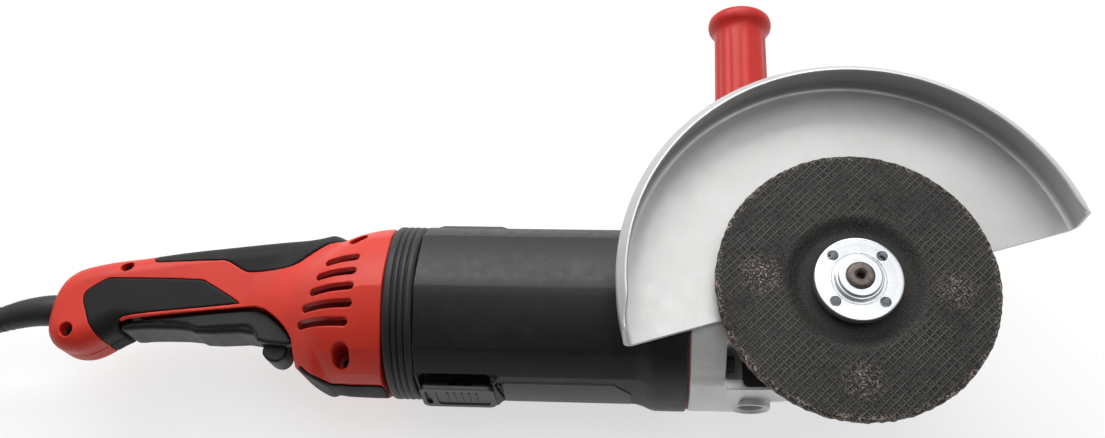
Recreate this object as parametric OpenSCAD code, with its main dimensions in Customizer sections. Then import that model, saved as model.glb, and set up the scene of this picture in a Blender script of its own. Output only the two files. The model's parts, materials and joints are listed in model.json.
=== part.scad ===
// Two-handed angle grinder with a swivelling rear handle, lying on its back.
// Millimetres. X runs along the motor towards the gear head, Y runs along the
// side handle, and Z runs along the spindle. The origin is where the spindle
// axis meets the flat back of the gear head, which rests on the ground.

/* [Motor] */
// Height of the motor axis above the flat back of the gear head
axis_h = 50; // [50:0.5:54]
// Corner radius of the faceted motor housing
motor_r = 49.5; // [48:0.5:49.5]
// Number of facets around the motor housing
motor_facets = 18; // [14:2:24]
// Wall thickness of the motor housing
motor_wall = 3; // [2:0.5:3.5]
// Distance from the spindle axis to the joint between gear head and motor
joint_x = 84; // [84:1:88]
// Distance from the spindle axis to the rear end of the motor housing
motor_rear_x = 233; // [231:1:235]
// Distance from the spindle axis to the front of the rear handle
swivel_x = 249; // [248:1:252]

/* [Gears] */
// Teeth of the pinion on the motor shaft
pinion_teeth = 10; // [10:1:10]
// Teeth of the crown gear on the spindle
crown_teeth = 40; // [40:1:40]
// Pitch radius of the crown gear at its outer end
crown_pitch_r = 30; // [29:0.5:30]
// Length of each tooth as a part of the pitch cone
tooth_face = 0.32; // [0.25:0.01:0.35]

/* [Spindle] */
// Radius of the M14 end of the spindle
spindle_r = 7; // [7:0.5:7]
// Height of the spindle's free end above the motor axis
spindle_top = 74; // [73:0.5:76]
// Height of the clamp nut's flange face above the motor axis
nut_face = 68; // [67:0.5:69]
// Radius of the clamp nut
nut_r = 22.5; // [20:0.5:24]
// Pitch circle diameter of the four pin holes in the clamp nut
nut_pcd = 35; // [34:0.5:36]
// Radius of each pin hole in the clamp nut
nut_hole_r = 2.7; // [2.5:0.1:2.9]

/* [Grinding disc] */
// Radius of the grinding disc
disc_r = 72.6; // [62:0.1:100]
// Thickness of the grinding disc
disc_t = 6; // [4:0.5:6]
// Height of the working face above the motor axis
disc_face = 63.5; // [63:0.5:64]
// Depth of the hollow in the middle of the disc
disc_drop = 4.5; // [3:0.5:4.5]

/* [Guard] */
// Outer radius of the guard's wall
guard_r = 123.4; // [118:0.1:126]
// Thickness of the guard's sheet steel
guard_t = 2; // [1.5:0.1:2]
// Height of the guard plate's underside above the motor axis
guard_low = 50; // [49.8:0.1:50.4]
// Height of the top of the guard's wall above the motor axis
guard_wall_top = 71.5; // [68:0.5:74]
// Width and height of the lip that leans inwards at the top of the wall
guard_lip = 5; // [3:0.5:7]
// Angle between the guard's straight edge and the motor axis
guard_turn = 17; // [10:1:25]

/* [Side handle] */
// Distance from the spindle axis back to the side handle's axis
side_x = 50; // [48:0.5:52]
// Distance from the motor axis to the far end of the side handle
side_end = 199; // [180:1:210]
// Radius of the side handle's grip
side_r = 16.2; // [14:0.2:18]
// Radius of the flange at the side handle's end
side_flange_r = 19.7; // [18:0.1:24]

/* [Rear handle] */
// Wall thickness of the handle shells
shell_wall = 3; // [2.5:0.5:3]
// Half the width of the trigger
trigger_half_w = 14.2; // [12:0.2:14.2]

/* [Power cord] */
// Radius of the cord
cord_r = 4.75; // [4:0.05:5]
// Turns of cord side by side in the coil
coil_columns = 3; // [3:1:3]
// Layers of cord in the coil
coil_layers = 4; // [4:1:4]

/* [Hidden] */
$fn = 48;
fine_fn = 96;
eps = 0.01;
running_gap = 0.04;

// Gear train
cone_length = norm([crown_pitch_r, crown_pitch_r * pinion_teeth / crown_teeth]);
crown_cone = atan(crown_teeth / pinion_teeth);
pinion_cone = 90 - crown_cone;
tooth_pitch = 2 * PI * crown_pitch_r / crown_teeth;

// Gear head
head_half_w = 48.6;
head_nose_r = 43;
head_nose_x = 5;
head_step_x = 56;
head_top = 28;
gear_cavity_r = 34;
bearing_plate_low = 20;
neck_r = 30;
neck_top = 44;
screw_y = 35;
screw_z = 29;
boss_end = 52;
far_boss_end = 52.2;
socket_bottom = 26;
socket_r = 7.05;
stud_socket_r = 7.6;
lock_x = 15.5;

// Guard clamp: where its ears are, and the lever's pin on them
clamp_angle = -73;
clamp_pin = [40, 8.5];

// Motor
armature_front = 105;
armature_rear = 165;
armature_r = 24;
stator_r = 44;
commutator_front = 196;
commutator_rear = 222;
commutator_r = 16;
brush_x = 209;
brush_turn = -10;
shaft_r = 6;
shaft_rear_x = 241;
spigot_r = 43;
spigot_rear_x = 245;
swivel_r = 40;

// Rear handle: its outline from the side, and the radius of its bell at each distance
HANDLE_SIDE = [
    [-249.3, -50], [-264, -50], [-275, -48.3], [-286, -44.5], [-296, -38.5], [-304, -30], [-312, -15],
    [-324, -8], [-345, -8], [-375, -12], [-400, -16], [-412, -21], [-419, -26], [-427, -31],
    [-440, -32], [-448, -30], [-455, -22], [-458, -13], [-458, 3], [-454, 13], [-448, 20],
    [-438, 24], [-412, 28.5], [-375, 34], [-330, 39.5], [-302, 43.5], [-286, 46.5], [-264, 50],
    [-249.3, 50]
];
HANDLE_BELL = [[-249.3, 50], [-264, 50], [-277, 47.5], [-290, 43], [-302, 37], [-314, 29], [-324, 20]];
grip_half_w = 20;
handle_screws = [[-437, -20, 13], [-411, 21, 13], [-273, -34, 20], [-271, 33, 20]];
slot_count = 5;
trigger_pivot = [-404, -8];
lever_pivot = [-316, -19];
pad_depth = 2;

// Cord
SLEEVE = [
    [-440, -3, 50, 9], [-450, -3, 50, 9], [-458, -3, 50, 9.2], [-466, -3.6, 49.8, 8.8],
    [-475, -5, 49.2, 8.3], [-484, -7, 48, 7.8], [-493, -9.2, 46.6, 7.4],
    [-503, -11.4, 44.9, 6.9], [-512, -13, 43, 6.4]
];
CORD_LEAD = [
    [-512, -13, 43], [-518, -14, 41], [-524, -15, 38.2], [-530, -16.1, 34.6], [-536, -17.3, 30.4],
    [-542, -18.6, 26], [-548, -19.9, 21.6], [-554, -21.3, 17.6], [-560, -22.7, 14.1],
    [-566, -24, 11.2], [-573, -25.4, 8.6], [-581, -26.8, 6.8], [-590, -28, 6],
    [-600, -28.7, 5.95], [-611, -29, 5.95], [-622, -29, 5.95]
];
CORD_TAIL = [
    [-684, 33, 34.75], [-684, 42, 34.5], [-684.2, 51, 33.2], [-684.6, 60, 30.7],
    [-685, 68, 27.6], [-685.4, 76, 24.5], [-685.8, 84, 21.8], [-686, 92, 20.2], [-686, 100, 19.6]
];
coil_centre = [-622, 33];
coil_pitch = 9.6;
coil_outer_turn = 62;
tie_t = 1.2;
plug_axis_h = 19.6;

// ---------- helpers ----------

// Moves a child from the motor axis frame to the part's frame
module at_axis() {
    translate([0, 0, axis_h]) children();
}

// A cylinder along +X, starting at x
module x_rod(x, length, r) {
    translate([x, 0, 0]) rotate([0, 90, 0]) cylinder(h = length, r = r);
}

// A ring along +X, starting at x
module x_ring(x, length, outer, inner) {
    difference() {
        x_rod(x, length, outer);
        x_rod(x - eps, length + 2 * eps, inner);
    }
}

// A ring along +Z, starting at z
module z_ring(z, height, outer, inner) {
    translate([0, 0, z]) difference() {
        cylinder(h = height, r = outer);
        translate([0, 0, -eps]) cylinder(h = height + 2 * eps, r = inner);
    }
}

// A box between two corners
module box(low, high) {
    translate(low) cube(high - low);
}

// A ring of points for a swept tube, square to the direction along
function tube_ring(centre, along, r, sides) =
    let (side = cross([0, 0, 1], along), s = side / norm(side), u = cross(along, s) / norm(along))
    [for (i = [0 : sides - 1])
        centre + r * cos(360 * i / sides) * s + r * sin(360 * i / sides) * u];

// The direction of a route at point i, level at both of its ends if flat_ends is true
function route_dir(route, i, end_dir) =
    i == 0 ? end_dir[0]
    : i == len(route) - 1 ? end_dir[1]
    : route[i + 1] - route[i - 1];

// Side faces and end caps of a stack of closed rings
function ring_faces(rings, sides) = concat(
    [[for (i = [sides - 1 : -1 : 0]) i]],
    [for (k = [0 : rings - 2], i = [0 : sides - 1])
        [k * sides + i, k * sides + (i + 1) % sides,
         (k + 1) * sides + (i + 1) % sides, (k + 1) * sides + i]],
    [[for (i = [0 : sides - 1]) (rings - 1) * sides + i]]
);

// A round tube along a route of points, with one radius for each point
module tube(route, radii, sides, end_dir) {
    points = [for (k = [0 : len(route) - 1])
        each tube_ring(route[k], route_dir(route, k, end_dir), radii[k], sides)];
    polyhedron(points, [for (f = ring_faces(len(route), sides)) [for (i = [len(f) - 1 : -1 : 0]) f[i]]]);
}

// Where two lines meet, each given by a point and a direction
function meet(p, u, q, v) = p + u * cross(q - p, v) / cross(u, v);

// A closed outline of points moved inwards by d, the ends at the bell's mouth kept
function inset(points, d) =
    let (n = len(points))
    [for (i = [0 : n - 1])
        let (
            a = points[(i + n - 1) % n], b = points[i], c = points[(i + 1) % n],
            u = (b - a) / norm(b - a), v = (c - b) / norm(c - b),
            du = i == 0 ? 0 : d, dv = i == n - 1 ? 0 : d
        )
        meet(b + du * [u[1], -u[0]], u, b + dv * [v[1], -v[0]], v)];

// The rear handle's outer form, made smaller by margin everywhere but at its mouth
module handle_form(margin) {
    bell = [for (p = HANDLE_BELL) [p[1] - margin, p[0]]];
    intersection() {
        translate([0, 0, -60]) linear_extrude(height = 120) polygon(inset(HANDLE_SIDE, margin));
        union() {
            rotate([0, 90, 0]) rotate_extrude($fn = fine_fn)
                polygon(concat([[0, bell[0][1]]], bell, [[0, bell[len(bell) - 1][1]]]));
            box([-470, -60, margin - grip_half_w], [-302, 60, grip_half_w - margin]);
        }
    }
}

// A straight bevel tooth: a trapezium that shrinks towards the apex at the origin,
// on a cone of the given half angle about +Z, with its tip turned by tip_turn
module bevel_tooth(cone_angle, half_width, root, tip, flank) {
    inner = 1 - tooth_face;
    rotate([0, cone_angle, 0])
        translate([0, 0, cone_length * inner])
            linear_extrude(height = cone_length * tooth_face, scale = 1 / inner)
                scale(inner)
                    polygon([
                        [-root, half_width + root * flank], [-root, -half_width - root * flank],
                        [tip, -half_width + tip * flank], [tip, half_width - tip * flank]
                    ]);
}

// ---------- gear head ----------

module head_plan(margin) {
    polygon([
        [-head_step_x - eps, -head_half_w + margin], [-34, -head_half_w + 0.6 + margin],
        [head_nose_x, -head_nose_r + margin], [head_nose_x, head_nose_r - margin],
        [-34, head_half_w - 0.6 - margin], [-head_step_x - eps, head_half_w - margin]
    ]);
    translate([head_nose_x, 0]) circle(r = head_nose_r - margin, $fn = fine_fn);
}

module head_outside() {
    translate([0, 0, -axis_h]) linear_extrude(height = axis_h + head_top) head_plan(0);
    intersection() {
        rotate([0, -90, 0]) translate([0, 0, head_step_x])
            cylinder(h = joint_x - head_step_x, r = 52, $fn = fine_fn);
        box([-joint_x, -52, -axis_h], [-head_step_x, 52, 49]);
    }
    for (s = [-1, 1])
        translate([-side_x, s * 40, 0]) rotate([-s * 90, 0, 0])
            cylinder(h = (s < 0 ? boss_end : far_boss_end) - 40, r = 11);
}

module screw_pocket(y, z) {
    high = z > 0 ? [60, z - 9] : [z + 9, -60];
    box([-65, y - 8, min(high[0], high[1])], [-head_step_x + eps, y + 8, max(high[0], high[1])]);
}

module gear_head() {
    color("silver") at_axis() difference() {
        head_outside();
        translate([0, 0, -28]) cylinder(h = 100, r = gear_cavity_r, $fn = fine_fn);
        translate([0, 0, head_top - 8]) linear_extrude(height = 20) head_plan(1.7);
        x_rod(-joint_x - 1, 60, 17);
        x_rod(-joint_x - 1, 23, 16);
        x_ring(-joint_x - 1, 9, 44, 20);
        translate([0, 0, -40]) cylinder(h = 20, r = 10);
        translate([lock_x, 0, -axis_h - 1]) cylinder(h = 11, r = 11);
        translate([lock_x, 0, -45]) cylinder(h = 20, r = 3 + running_gap);
        for (s = [-1, 1]) {
            translate([-side_x, s * socket_bottom, 0]) rotate([-s * 90, 0, 0])
                cylinder(h = 30, r = s < 0 ? socket_r : stud_socket_r);
            for (t = [-1, 1]) {
                screw_pocket(s * screw_y, t * screw_z);
                translate([0, s * screw_y, t * screw_z]) x_rod(-joint_x - 1, 30, 2.6);
            }
        }
        for (a = [0 : 3])
            rotate([0, 0, 45 + 90 * a]) translate([38.5, 0, 8]) cylinder(h = 14, r = 2);
    }
}

module head_gasket() {
    color("firebrick") at_axis() difference() {
        x_rod(-joint_x - 0.8, 0.8, 51);
        x_rod(-joint_x - 1, 1.2, 45);
        for (s = [-1, 1], t = [-1, 1])
            translate([0, s * screw_y, t * screw_z]) x_rod(-joint_x - 1, 2, 2.6);
        for (s = [-1, 1]) translate([-joint_x, 0, s * 59.4]) cube([4, 120, 20], center = true);
    }
}

module bearing_plate() {
    color("dimgray") at_axis() difference() {
        union() {
            translate([0, 0, bearing_plate_low]) linear_extrude(height = 6) intersection() {
                head_plan(1.9);
                translate([-55.8, -60]) square([200, 120]);
            }
            translate([0, 0, 26 - eps]) cylinder(h = neck_top - 26, r = neck_r, $fn = fine_fn);
        }
        translate([0, 0, 19]) cylinder(h = 13, r = 20);
        translate([0, 0, 19]) cylinder(h = 40, r = 14);
        for (a = [0 : 3])
            rotate([0, 0, 45 + 90 * a]) translate([38.5, 0, 0]) {
                translate([0, 0, 19]) cylinder(h = 10, r = 2.2);
                translate([0, 0, 23.2]) cylinder(h = 4, r = 4.2);
            }
    }
}

module bearing_plate_screws() {
    color("silver") at_axis() for (a = [0 : 3])
        rotate([0, 0, 45 + 90 * a]) translate([38.5, 0, 0]) difference() {
            union() {
                translate([0, 0, 9]) cylinder(h = 15, r = 2);
                translate([0, 0, 23.3]) cylinder(h = 2.5, r = 4);
            }
            translate([0, 0, 24.2]) cylinder(h = 3, r = 1.6, $fn = 6);
        }
}

module head_screws() {
    color("silver") at_axis() for (s = [-1, 1], t = [-1, 1])
        translate([0, s * screw_y, t * screw_z]) difference() {
            union() {
                x_rod(-99, 38.5, 2.5);
                x_rod(-65, 4.5, 4.4);
            }
            translate([-63, 0, 0]) rotate([0, 90, 0]) cylinder(h = 3, r = 2.2, $fn = 6);
        }
}

// ---------- spindle group ----------

module spindle() {
    color("dimgray") at_axis() difference() {
        union() {
            translate([0, 0, -38]) cylinder(h = 22, r = 6);
            translate([0, 0, -16]) cylinder(h = 61.5, r = 8.5);
            translate([0, 0, 45]) cylinder(h = spindle_top - 46, r = spindle_r);
            translate([0, 0, spindle_top - 1]) cylinder(h = 1, r1 = spindle_r, r2 = spindle_r - 1);
        }
        translate([0, 0, spindle_top - 8]) cylinder(h = 9, r = 2.15);
    }
}

module crown_gear() {
    back = 16.5;
    rim = crown_pitch_r + 0.6;
    root_in = cone_length * (1 - tooth_face);
    color("darkgray") at_axis() difference() {
        union() {
            rotate_extrude($fn = fine_fn) polygon([
                [8.5, back], [8.5, 5.5], [14, 5.5], [root_in * sin(crown_cone) - 0.5, 7],
                [rim, 9.1], [rim, back]
            ]);
            for (i = [0 : crown_teeth - 1])
                rotate([0, 0, 180 + 360 * (i + 0.5) / crown_teeth])
                    bevel_tooth(crown_cone, tooth_pitch * 0.22, 2.1, 1.35, 0.36);
        }
        for (a = [0 : 3]) rotate([0, 0, 90 * a]) translate([lock_x, 0, 0]) cylinder(h = 30, r = 3.6);
        cylinder(h = 30, r = 8.5);
    }
}

module spindle_ball_bearing() {
    color("lightgray") at_axis() translate([0, 0, 20.2]) sealed_bearing(11.6, 20, 8.5 + running_gap);
}

module spindle_needle_bearing() {
    color("lightgray") at_axis() z_ring(-38, 10, 10, 6 + running_gap);
}

module inner_flange() {
    color("silver") at_axis() rotate_extrude($fn = fine_fn) polygon([
        [spindle_r, 45.5], [21, 45.5], [21, disc_face - disc_t - disc_drop],
        [11, disc_face - disc_t - disc_drop], [11, 56.5], [spindle_r, 56.5]
    ]);
}

module grinding_disc() {
    hub_top = disc_face - disc_drop;
    color("darkslategray") at_axis() rotate_extrude($fn = fine_fn) polygon([
        [11.1, hub_top - disc_t], [31, hub_top - disc_t], [36, disc_face - disc_t],
        [disc_r, disc_face - disc_t], [disc_r, disc_face], [36.5, disc_face],
        [33, disc_face - 1.4], [30, hub_top], [11.1, hub_top]
    ]);
}

module clamp_nut() {
    seat = disc_face - disc_drop;
    base_r = 12.2;
    boss_r = 11;
    color("gainsboro") at_axis() difference() {
        rotate_extrude($fn = fine_fn) polygon([
            [spindle_r, seat], [20, seat], [20, seat + 3.4], [nut_r, seat + 3.4],
            [nut_r, nut_face - 0.8], [nut_r - 0.8, nut_face], [14, nut_face], [14, nut_face - 0.6],
            [base_r, nut_face - 0.6], [base_r, nut_face + 2], [boss_r, nut_face + 2.4],
            [boss_r, nut_face + 4], [boss_r - 0.5, nut_face + 4.5], [spindle_r, nut_face + 4.5]
        ]);
        for (a = [0 : 3])
            rotate([0, 0, 45 + 90 * a]) translate([nut_pcd / 2, 0, seat + 0.5])
                cylinder(h = 12, r = nut_hole_r);
    }
}

// ---------- spindle lock ----------

module lock_button() {
    color("red") at_axis() translate([lock_x, 0, 0]) union() {
        translate([0, 0, -49]) cylinder(h = 3, r = 9.5);
        translate([0, 0, -46.5]) cylinder(h = 50, r = 3);
    }
}

module lock_spring() {
    color("silver") at_axis() translate([lock_x, 0, 0]) difference() {
        translate([0, 0, -45.8]) cylinder(h = 5.6, r = 6.5);
        translate([0, 0, -46]) cylinder(h = 7, r = 4.8);
    }
}

// ---------- guard ----------

// Sheet profile of the guard: flat plate, rounded corner, wall and lip
module guard_profile(inner_r) {
    bend = 4;
    corner_z = guard_low + bend;
    difference() {
        union() {
            translate([inner_r, guard_low]) square([guard_r - bend - inner_r, guard_t]);
            translate([guard_r - bend, corner_z]) circle(r = bend);
            translate([guard_r - guard_t, corner_z]) square([guard_t, guard_wall_top - corner_z]);
            polygon([
                [guard_r - guard_t, guard_wall_top - 1], [guard_r, guard_wall_top],
                [guard_r - guard_lip, guard_wall_top + guard_lip],
                [guard_r - guard_lip - 1.4, guard_wall_top + guard_lip - 1.4]
            ]);
        }
        translate([guard_r - bend, corner_z]) circle(r = bend - guard_t);
        translate([guard_r - 2 * bend, corner_z]) square([2 * bend - guard_t, 3]);
        translate([guard_r - 2 * bend - 1, guard_low + guard_t]) square([bend + 1, 5]);
    }
}

module guard() {
    edge_lean = 8;
    color("lightgray") at_axis() union() {
        difference() {
            rotate_extrude($fn = 120) guard_profile(neck_r + 3);
            rotate([0, 0, guard_turn]) translate([0, 3.2, guard_low]) rotate([edge_lean, 0, 0])
                box([-150, -160, -20], [150, 0, 60]);
        }
        difference() {
            z_ring(guard_low, guard_t, 44, neck_r + 3);
            rotate([0, 0, guard_turn]) box([-60, 3.2, guard_low - 1], [60, 60, guard_low + 4]);
        }
    }
}

module guard_collar() {
    color("lightgray") at_axis() z_ring(31, guard_low + guard_t - 31, neck_r + 3, neck_r + running_gap);
}

module guard_clamp_band() {
    color("gray") at_axis() rotate([0, 0, clamp_angle]) {
        difference() {
            z_ring(33, 12, neck_r + 5, neck_r + 3);
            box([30, -3, 30], [40, 3, 48]);
        }
        for (s = [-1, 1])
            box([34.5, s > 0 ? 3 : -5, 33], [44, s > 0 ? 5 : -3, 45]);
        for (z = [33, 41.6])
            box([36.5, 5 - eps, z], [43.5, 12, z + 2.4]);
        translate([clamp_pin[0], clamp_pin[1], 34]) cylinder(h = 8.5, r = 1.5);
    }
}

module guard_clamp_lever() {
    color("gray") at_axis() rotate([0, 0, clamp_angle])
        translate([clamp_pin[0], clamp_pin[1], 35.8]) difference() {
            union() {
                cylinder(h = 5.4, r = 3);
                box([-2, 0, 0.6], [2, 25.5, 4.8]);
            }
            translate([0, 0, -1]) cylinder(h = 8, r = 1.5 + running_gap);
        }
}

// ---------- motor ----------

module motor_prism(x0, x1, r) {
    translate([-x1, 0, 0]) rotate([0, 90, 0])
        linear_extrude(height = x1 - x0)
            polygon([for (i = [0 : motor_facets - 1])
                r * [cos(360 * i / motor_facets), sin(360 * i / motor_facets)]]);
}

module brush_pad(s) {
    mirror([0, s > 0 ? 0 : 1, 0]) box([0.1 - motor_rear_x, 44, -16], [-186, 50.5, 16]);
}

module motor_housing() {
    inner_r = motor_r * cos(180 / motor_facets) - motor_wall;
    color("dimgray") at_axis() difference() {
        union() {
            difference() {
                union() {
                    motor_prism(joint_x + 0.8, motor_rear_x, motor_r);
                    intersection() {
                        x_rod(-joint_x - 16.8, 16, 52);
                        box([-joint_x - 18, -60, -49.5], [-joint_x, 60, 49.5]);
                    }
                    x_rod(-spigot_rear_x, 20, spigot_r);
                    rotate([brush_turn, 0, 0]) for (s = [-1, 1]) brush_pad(s);
                }
                x_rod(-motor_rear_x + motor_wall, 200, inner_r);
                x_rod(-spigot_rear_x - 1, 40, 34);
            }
            x_rod(-238, 8, 14);
            for (a = [0 : 1]) rotate([45 + 90 * a, 0, 0]) box([-238, -35, -3], [-232, 35, 3]);
            for (s = [-1, 1], t = [-1, 1])
                translate([0, s * screw_y, t * screw_z]) x_rod(-joint_x - 16.8, 16, 5.5);
        }
        x_rod(-240, 12, 11);
        for (s = [-1, 1]) {
            rotate([brush_turn, 0, 0])
                translate([-brush_x, s * 30, 0]) rotate([-s * 90, 0, 0]) cylinder(h = 30, r = 8);
            for (t = [-1, 1])
                translate([0, s * screw_y, t * screw_z]) x_rod(-joint_x - 18, 30, 2.5);
        }
    }
}

module label_plate() {
    color("gray") at_axis() intersection() {
        difference() {
            motor_prism(115, 185, motor_r + 0.5);
            motor_prism(110, 190, motor_r);
        }
        box([-190, -60, -3.5], [-110, -40, 19]);
    }
}

module brush_cover(s) {
    rotate([brush_turn, 0, 0]) mirror([0, s > 0 ? 0 : 1, 0]) difference() {
        box([-231, 50.5, -12], [-189, 53, 12]);
        box([-229, 51.5, -8], [-226, 54, 8]);
    }
}

module brush_cover_left() {
    color("black") at_axis() brush_cover(-1);
}

module brush_cover_right() {
    color("black") at_axis() brush_cover(1);
}

module brush_holders() {
    color("goldenrod") at_axis() for (s = [0, 180])
        rotate([s + brush_turn, 0, 0]) difference() {
            box([-brush_x - 5.5, 20, -4.5], [-brush_x + 5.5, 45.5, 4.5]);
            box([-brush_x - 4.1, 19, -3.1], [-brush_x + 4.1, 44, 3.1]);
        }
}

module carbon_brushes() {
    color("black") at_axis() for (s = [0, 180])
        rotate([s + brush_turn, 0, 0]) box([-brush_x - 4, commutator_r + 0.3, -3], [-brush_x + 4, 38, 3]);
}

module stator_core() {
    color("silver") at_axis() difference() {
        x_rod(-armature_rear, armature_rear - armature_front, stator_r);
        x_rod(-armature_rear - 1, 80, armature_r + 0.8);
        for (s = [-1, 1])
            translate([0, 0, s * 32]) box([-armature_rear - 1, -20, -5], [-armature_front + 1, 20, 5]);
    }
}

module field_coils() {
    color("sienna") at_axis() for (s = [-1, 1])
        translate([0, 0, s * 32])
            box([-armature_rear - 9, -19.8, -4.8], [-armature_front + 1, 19.8, 4.8]);
}

module air_baffle() {
    color("black") at_axis() x_ring(-joint_x - 19.5, 2, 45, 30);
}

module armature_shaft() {
    color("silver") at_axis() {
        x_rod(-shaft_rear_x, shaft_rear_x - 31, shaft_r - 2);
        x_rod(-228, 228 - 31, shaft_r);
        x_rod(-31.5, 13, 3.5);
    }
}

module armature_core() {
    color("gray") at_axis() x_ring(-armature_rear, armature_rear - armature_front, armature_r, shaft_r);
}

module armature_windings() {
    color("chocolate") at_axis() {
        x_ring(-armature_rear - 14, 14, armature_r - 3, shaft_r);
        x_ring(-armature_front, 6, armature_r - 3, shaft_r);
    }
}

module commutator() {
    color("peru") at_axis() x_ring(-commutator_rear, commutator_rear - commutator_front, commutator_r, shaft_r);
}

module fan() {
    hub_x = -94;
    fan_r = 38.5;
    color("black") at_axis() {
        x_ring(hub_x, 8, 12, shaft_r);
        x_ring(hub_x + 6, 2, fan_r, 11.5);
        for (a = [0 : 11])
            rotate([30 * a, 0, 0]) box([hub_x, 18, -0.8], [hub_x + 6.5, fan_r, 0.8]);
    }
}

module pinion() {
    root_out = crown_pitch_r / 4 - 1.9;
    inner = 1 - tooth_face;
    color("darkgray") at_axis() difference() {
        union() {
            translate([-crown_pitch_r, 0, 0]) rotate([0, 90, 0])
                cylinder(h = crown_pitch_r * tooth_face, r1 = root_out, r2 = root_out * inner);
            for (i = [0 : pinion_teeth - 1])
                rotate([360 * i / pinion_teeth, 0, 0]) rotate([0, -90, 0])
                    bevel_tooth(pinion_cone, tooth_pitch * 0.19, 1.9, 1.35, 0.3);
        }
        x_rod(-40, 30, 3.5);
    }
}

// A sealed ball bearing along +Z: two races and a recessed shield between them
module sealed_bearing(width, outer, inner) {
    race = (outer - inner) * 0.28;
    dip = 0.6;
    rotate_extrude($fn = fine_fn) polygon([
        [inner, 0], [inner + race, 0], [inner + race, dip], [outer - race, dip], [outer - race, 0],
        [outer, 0], [outer, width], [outer - race, width], [outer - race, width - dip],
        [inner + race, width - dip], [inner + race, width], [inner, width]
    ]);
}

module rotor_front_bearing() {
    color("lightgray") at_axis() translate([-73, 0, 0]) rotate([0, 90, 0])
        sealed_bearing(10, 16, shaft_r + running_gap);
}

module rotor_rear_bearing() {
    color("lightgray") at_axis() translate([-237.5, 0, 0]) rotate([0, 90, 0])
        sealed_bearing(7, 11, shaft_r - 2 + running_gap);
}

module damping_ring() {
    groove_x = [-244.3, -241, -237.4];
    color("black") at_axis() difference() {
        x_rod(-swivel_x, swivel_x - motor_rear_x, 50);
        x_rod(-swivel_x - 1, 30, spigot_r);
        for (x = groove_x) x_ring(x - 0.5, 1, 52, 48.4);
    }
}

// ---------- rear handle ----------

module swivel_ring() {
    color("black") at_axis() difference() {
        union() {
            x_rod(-258, 13, swivel_r);
            x_rod(-262, 4, swivel_r + 4);
        }
        x_rod(-263, 20, swivel_r - 6);
    }
}

// Outline of the opening that the trigger moves in
module trigger_mouth() {
    translate([0, 0, -15]) linear_extrude(height = 30) polygon([
        [-411, -60], [-411, -5], [-400, 0], [-340, 6], [-300, 12], [-300, -22], [-305.5, -30],
        [-305.5, -60]
    ]);
}

// One slot with round ends between two points, cut along Z
module slot(a, b, r) {
    run = b - a;
    turn = atan2(run[1], run[0]);
    round_end = function (centre, from) [for (k = [0 : 6])
        centre + r * [cos(turn + from + 30 * k), sin(turn + from + 30 * k)]];
    linear_extrude(height = 60) polygon(concat(round_end(b, -90), round_end(a, 90)));
}

module vent_slots() {
    for (i = [0 : slot_count - 1])
        translate([0, 0, 20]) slot([-284 - 2.8 * i, 14.5 - 9.3 * i], [-269, 18 - 9.2 * i], 2);
}

// Zones of the soft overmould, as outlines seen along Z
module side_grip_outline() {
    polygon([
        [-430, 3], [-418, 11.5], [-361, 11.8], [-337, -5.3], [-404, -13.7], [-407, -16],
        [-405, -25], [-413, -25.5], [-421.5, -19.6], [-428, -11]
    ]);
}

module top_grip_outline() {
    polygon([
        [-395, 24.9], [-393, 22.6], [-351, 24.3], [-337, 17], [-318, 18.2], [-305, 21.4],
        [-296, 29.4], [-283, 37.5], [-279, 60], [-396, 60]
    ]);
}

module skin(low_z, high_z) {
    intersection() {
        difference() {
            handle_form(0);
            handle_form(pad_depth);
        }
        translate([0, 0, low_z]) linear_extrude(height = high_z - low_z) children();
    }
}

module soft_grip_near() {
    color("dimgray") at_axis() difference() {
        skin(5, 40) side_grip_outline();
        trigger_mouth();
    }
}

module soft_grip_far() {
    color("dimgray") at_axis() mirror([0, 0, 1]) difference() {
        skin(5, 40) side_grip_outline();
        trigger_mouth();
    }
}

module soft_grip_top() {
    color("dimgray") at_axis() skin(-40, 40) top_grip_outline();
}

module strip_outline() {
    polygon([[-249, -45.5], [-275, -45.5], [-289, -43], [-289, -60], [-249, -60]]);
}

module soft_strip() {
    color("dimgray") at_axis() skin(-40, 40) strip_outline();
}

// The half of the handle casing with z > 0
module handle_half(head_side) {
    difference() {
        intersection() {
            handle_form(0);
            box([-500, -100, 0], [-200, 100, 100]);
        }
        difference() {
            intersection() {
                handle_form(shell_wall + pad_depth);
                box([-500, -100, -1], [-256.5, 100, 100]);
            }
            for (p = handle_screws) translate([p[0], p[1], -2]) cylinder(h = 90, r = 5.5);
        }
        x_rod(-262.5, 30, swivel_r + running_gap);
        trigger_mouth();
        vent_slots();
        translate([0, -3, 0]) x_rod(-470, 30, 9.25);
        translate([trigger_pivot[0], trigger_pivot[1], -1]) cylinder(h = 18, r = 2);
        for (p = handle_screws) translate([p[0], p[1], -1]) {
            cylinder(h = 80, r = 2.1);
            if (head_side) translate([0, 0, 1 + p[2]]) cylinder(h = 80, r = 3.9);
        }
    }
}

// Room for the soft overmould in the shells
module grip_pockets() {
    difference() {
        union() {
            translate([0, 0, 5]) linear_extrude(height = 40) side_grip_outline();
            translate([0, 0, -40]) linear_extrude(height = 80) top_grip_outline();
            translate([0, 0, -40]) linear_extrude(height = 80) strip_outline();
        }
        handle_form(pad_depth);
    }
}

module handle_shell_near() {
    color("tomato") at_axis() difference() {
        handle_half(true);
        grip_pockets();
    }
}

module handle_shell_far() {
    color("tomato") at_axis() mirror([0, 0, 1]) difference() {
        handle_half(false);
        grip_pockets();
    }
}

module handle_screw_set() {
    color("silver") at_axis() for (p = handle_screws)
        translate([p[0], p[1], 0]) difference() {
            union() {
                translate([0, 0, -10]) cylinder(h = 10 + p[2] + 1, r = 2);
                translate([0, 0, p[2]]) cylinder(h = 2.6, r = 3.7);
            }
            translate([0, 0, p[2] + 1]) cylinder(h = 4, r = 1.6, $fn = 6);
        }
}

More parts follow.
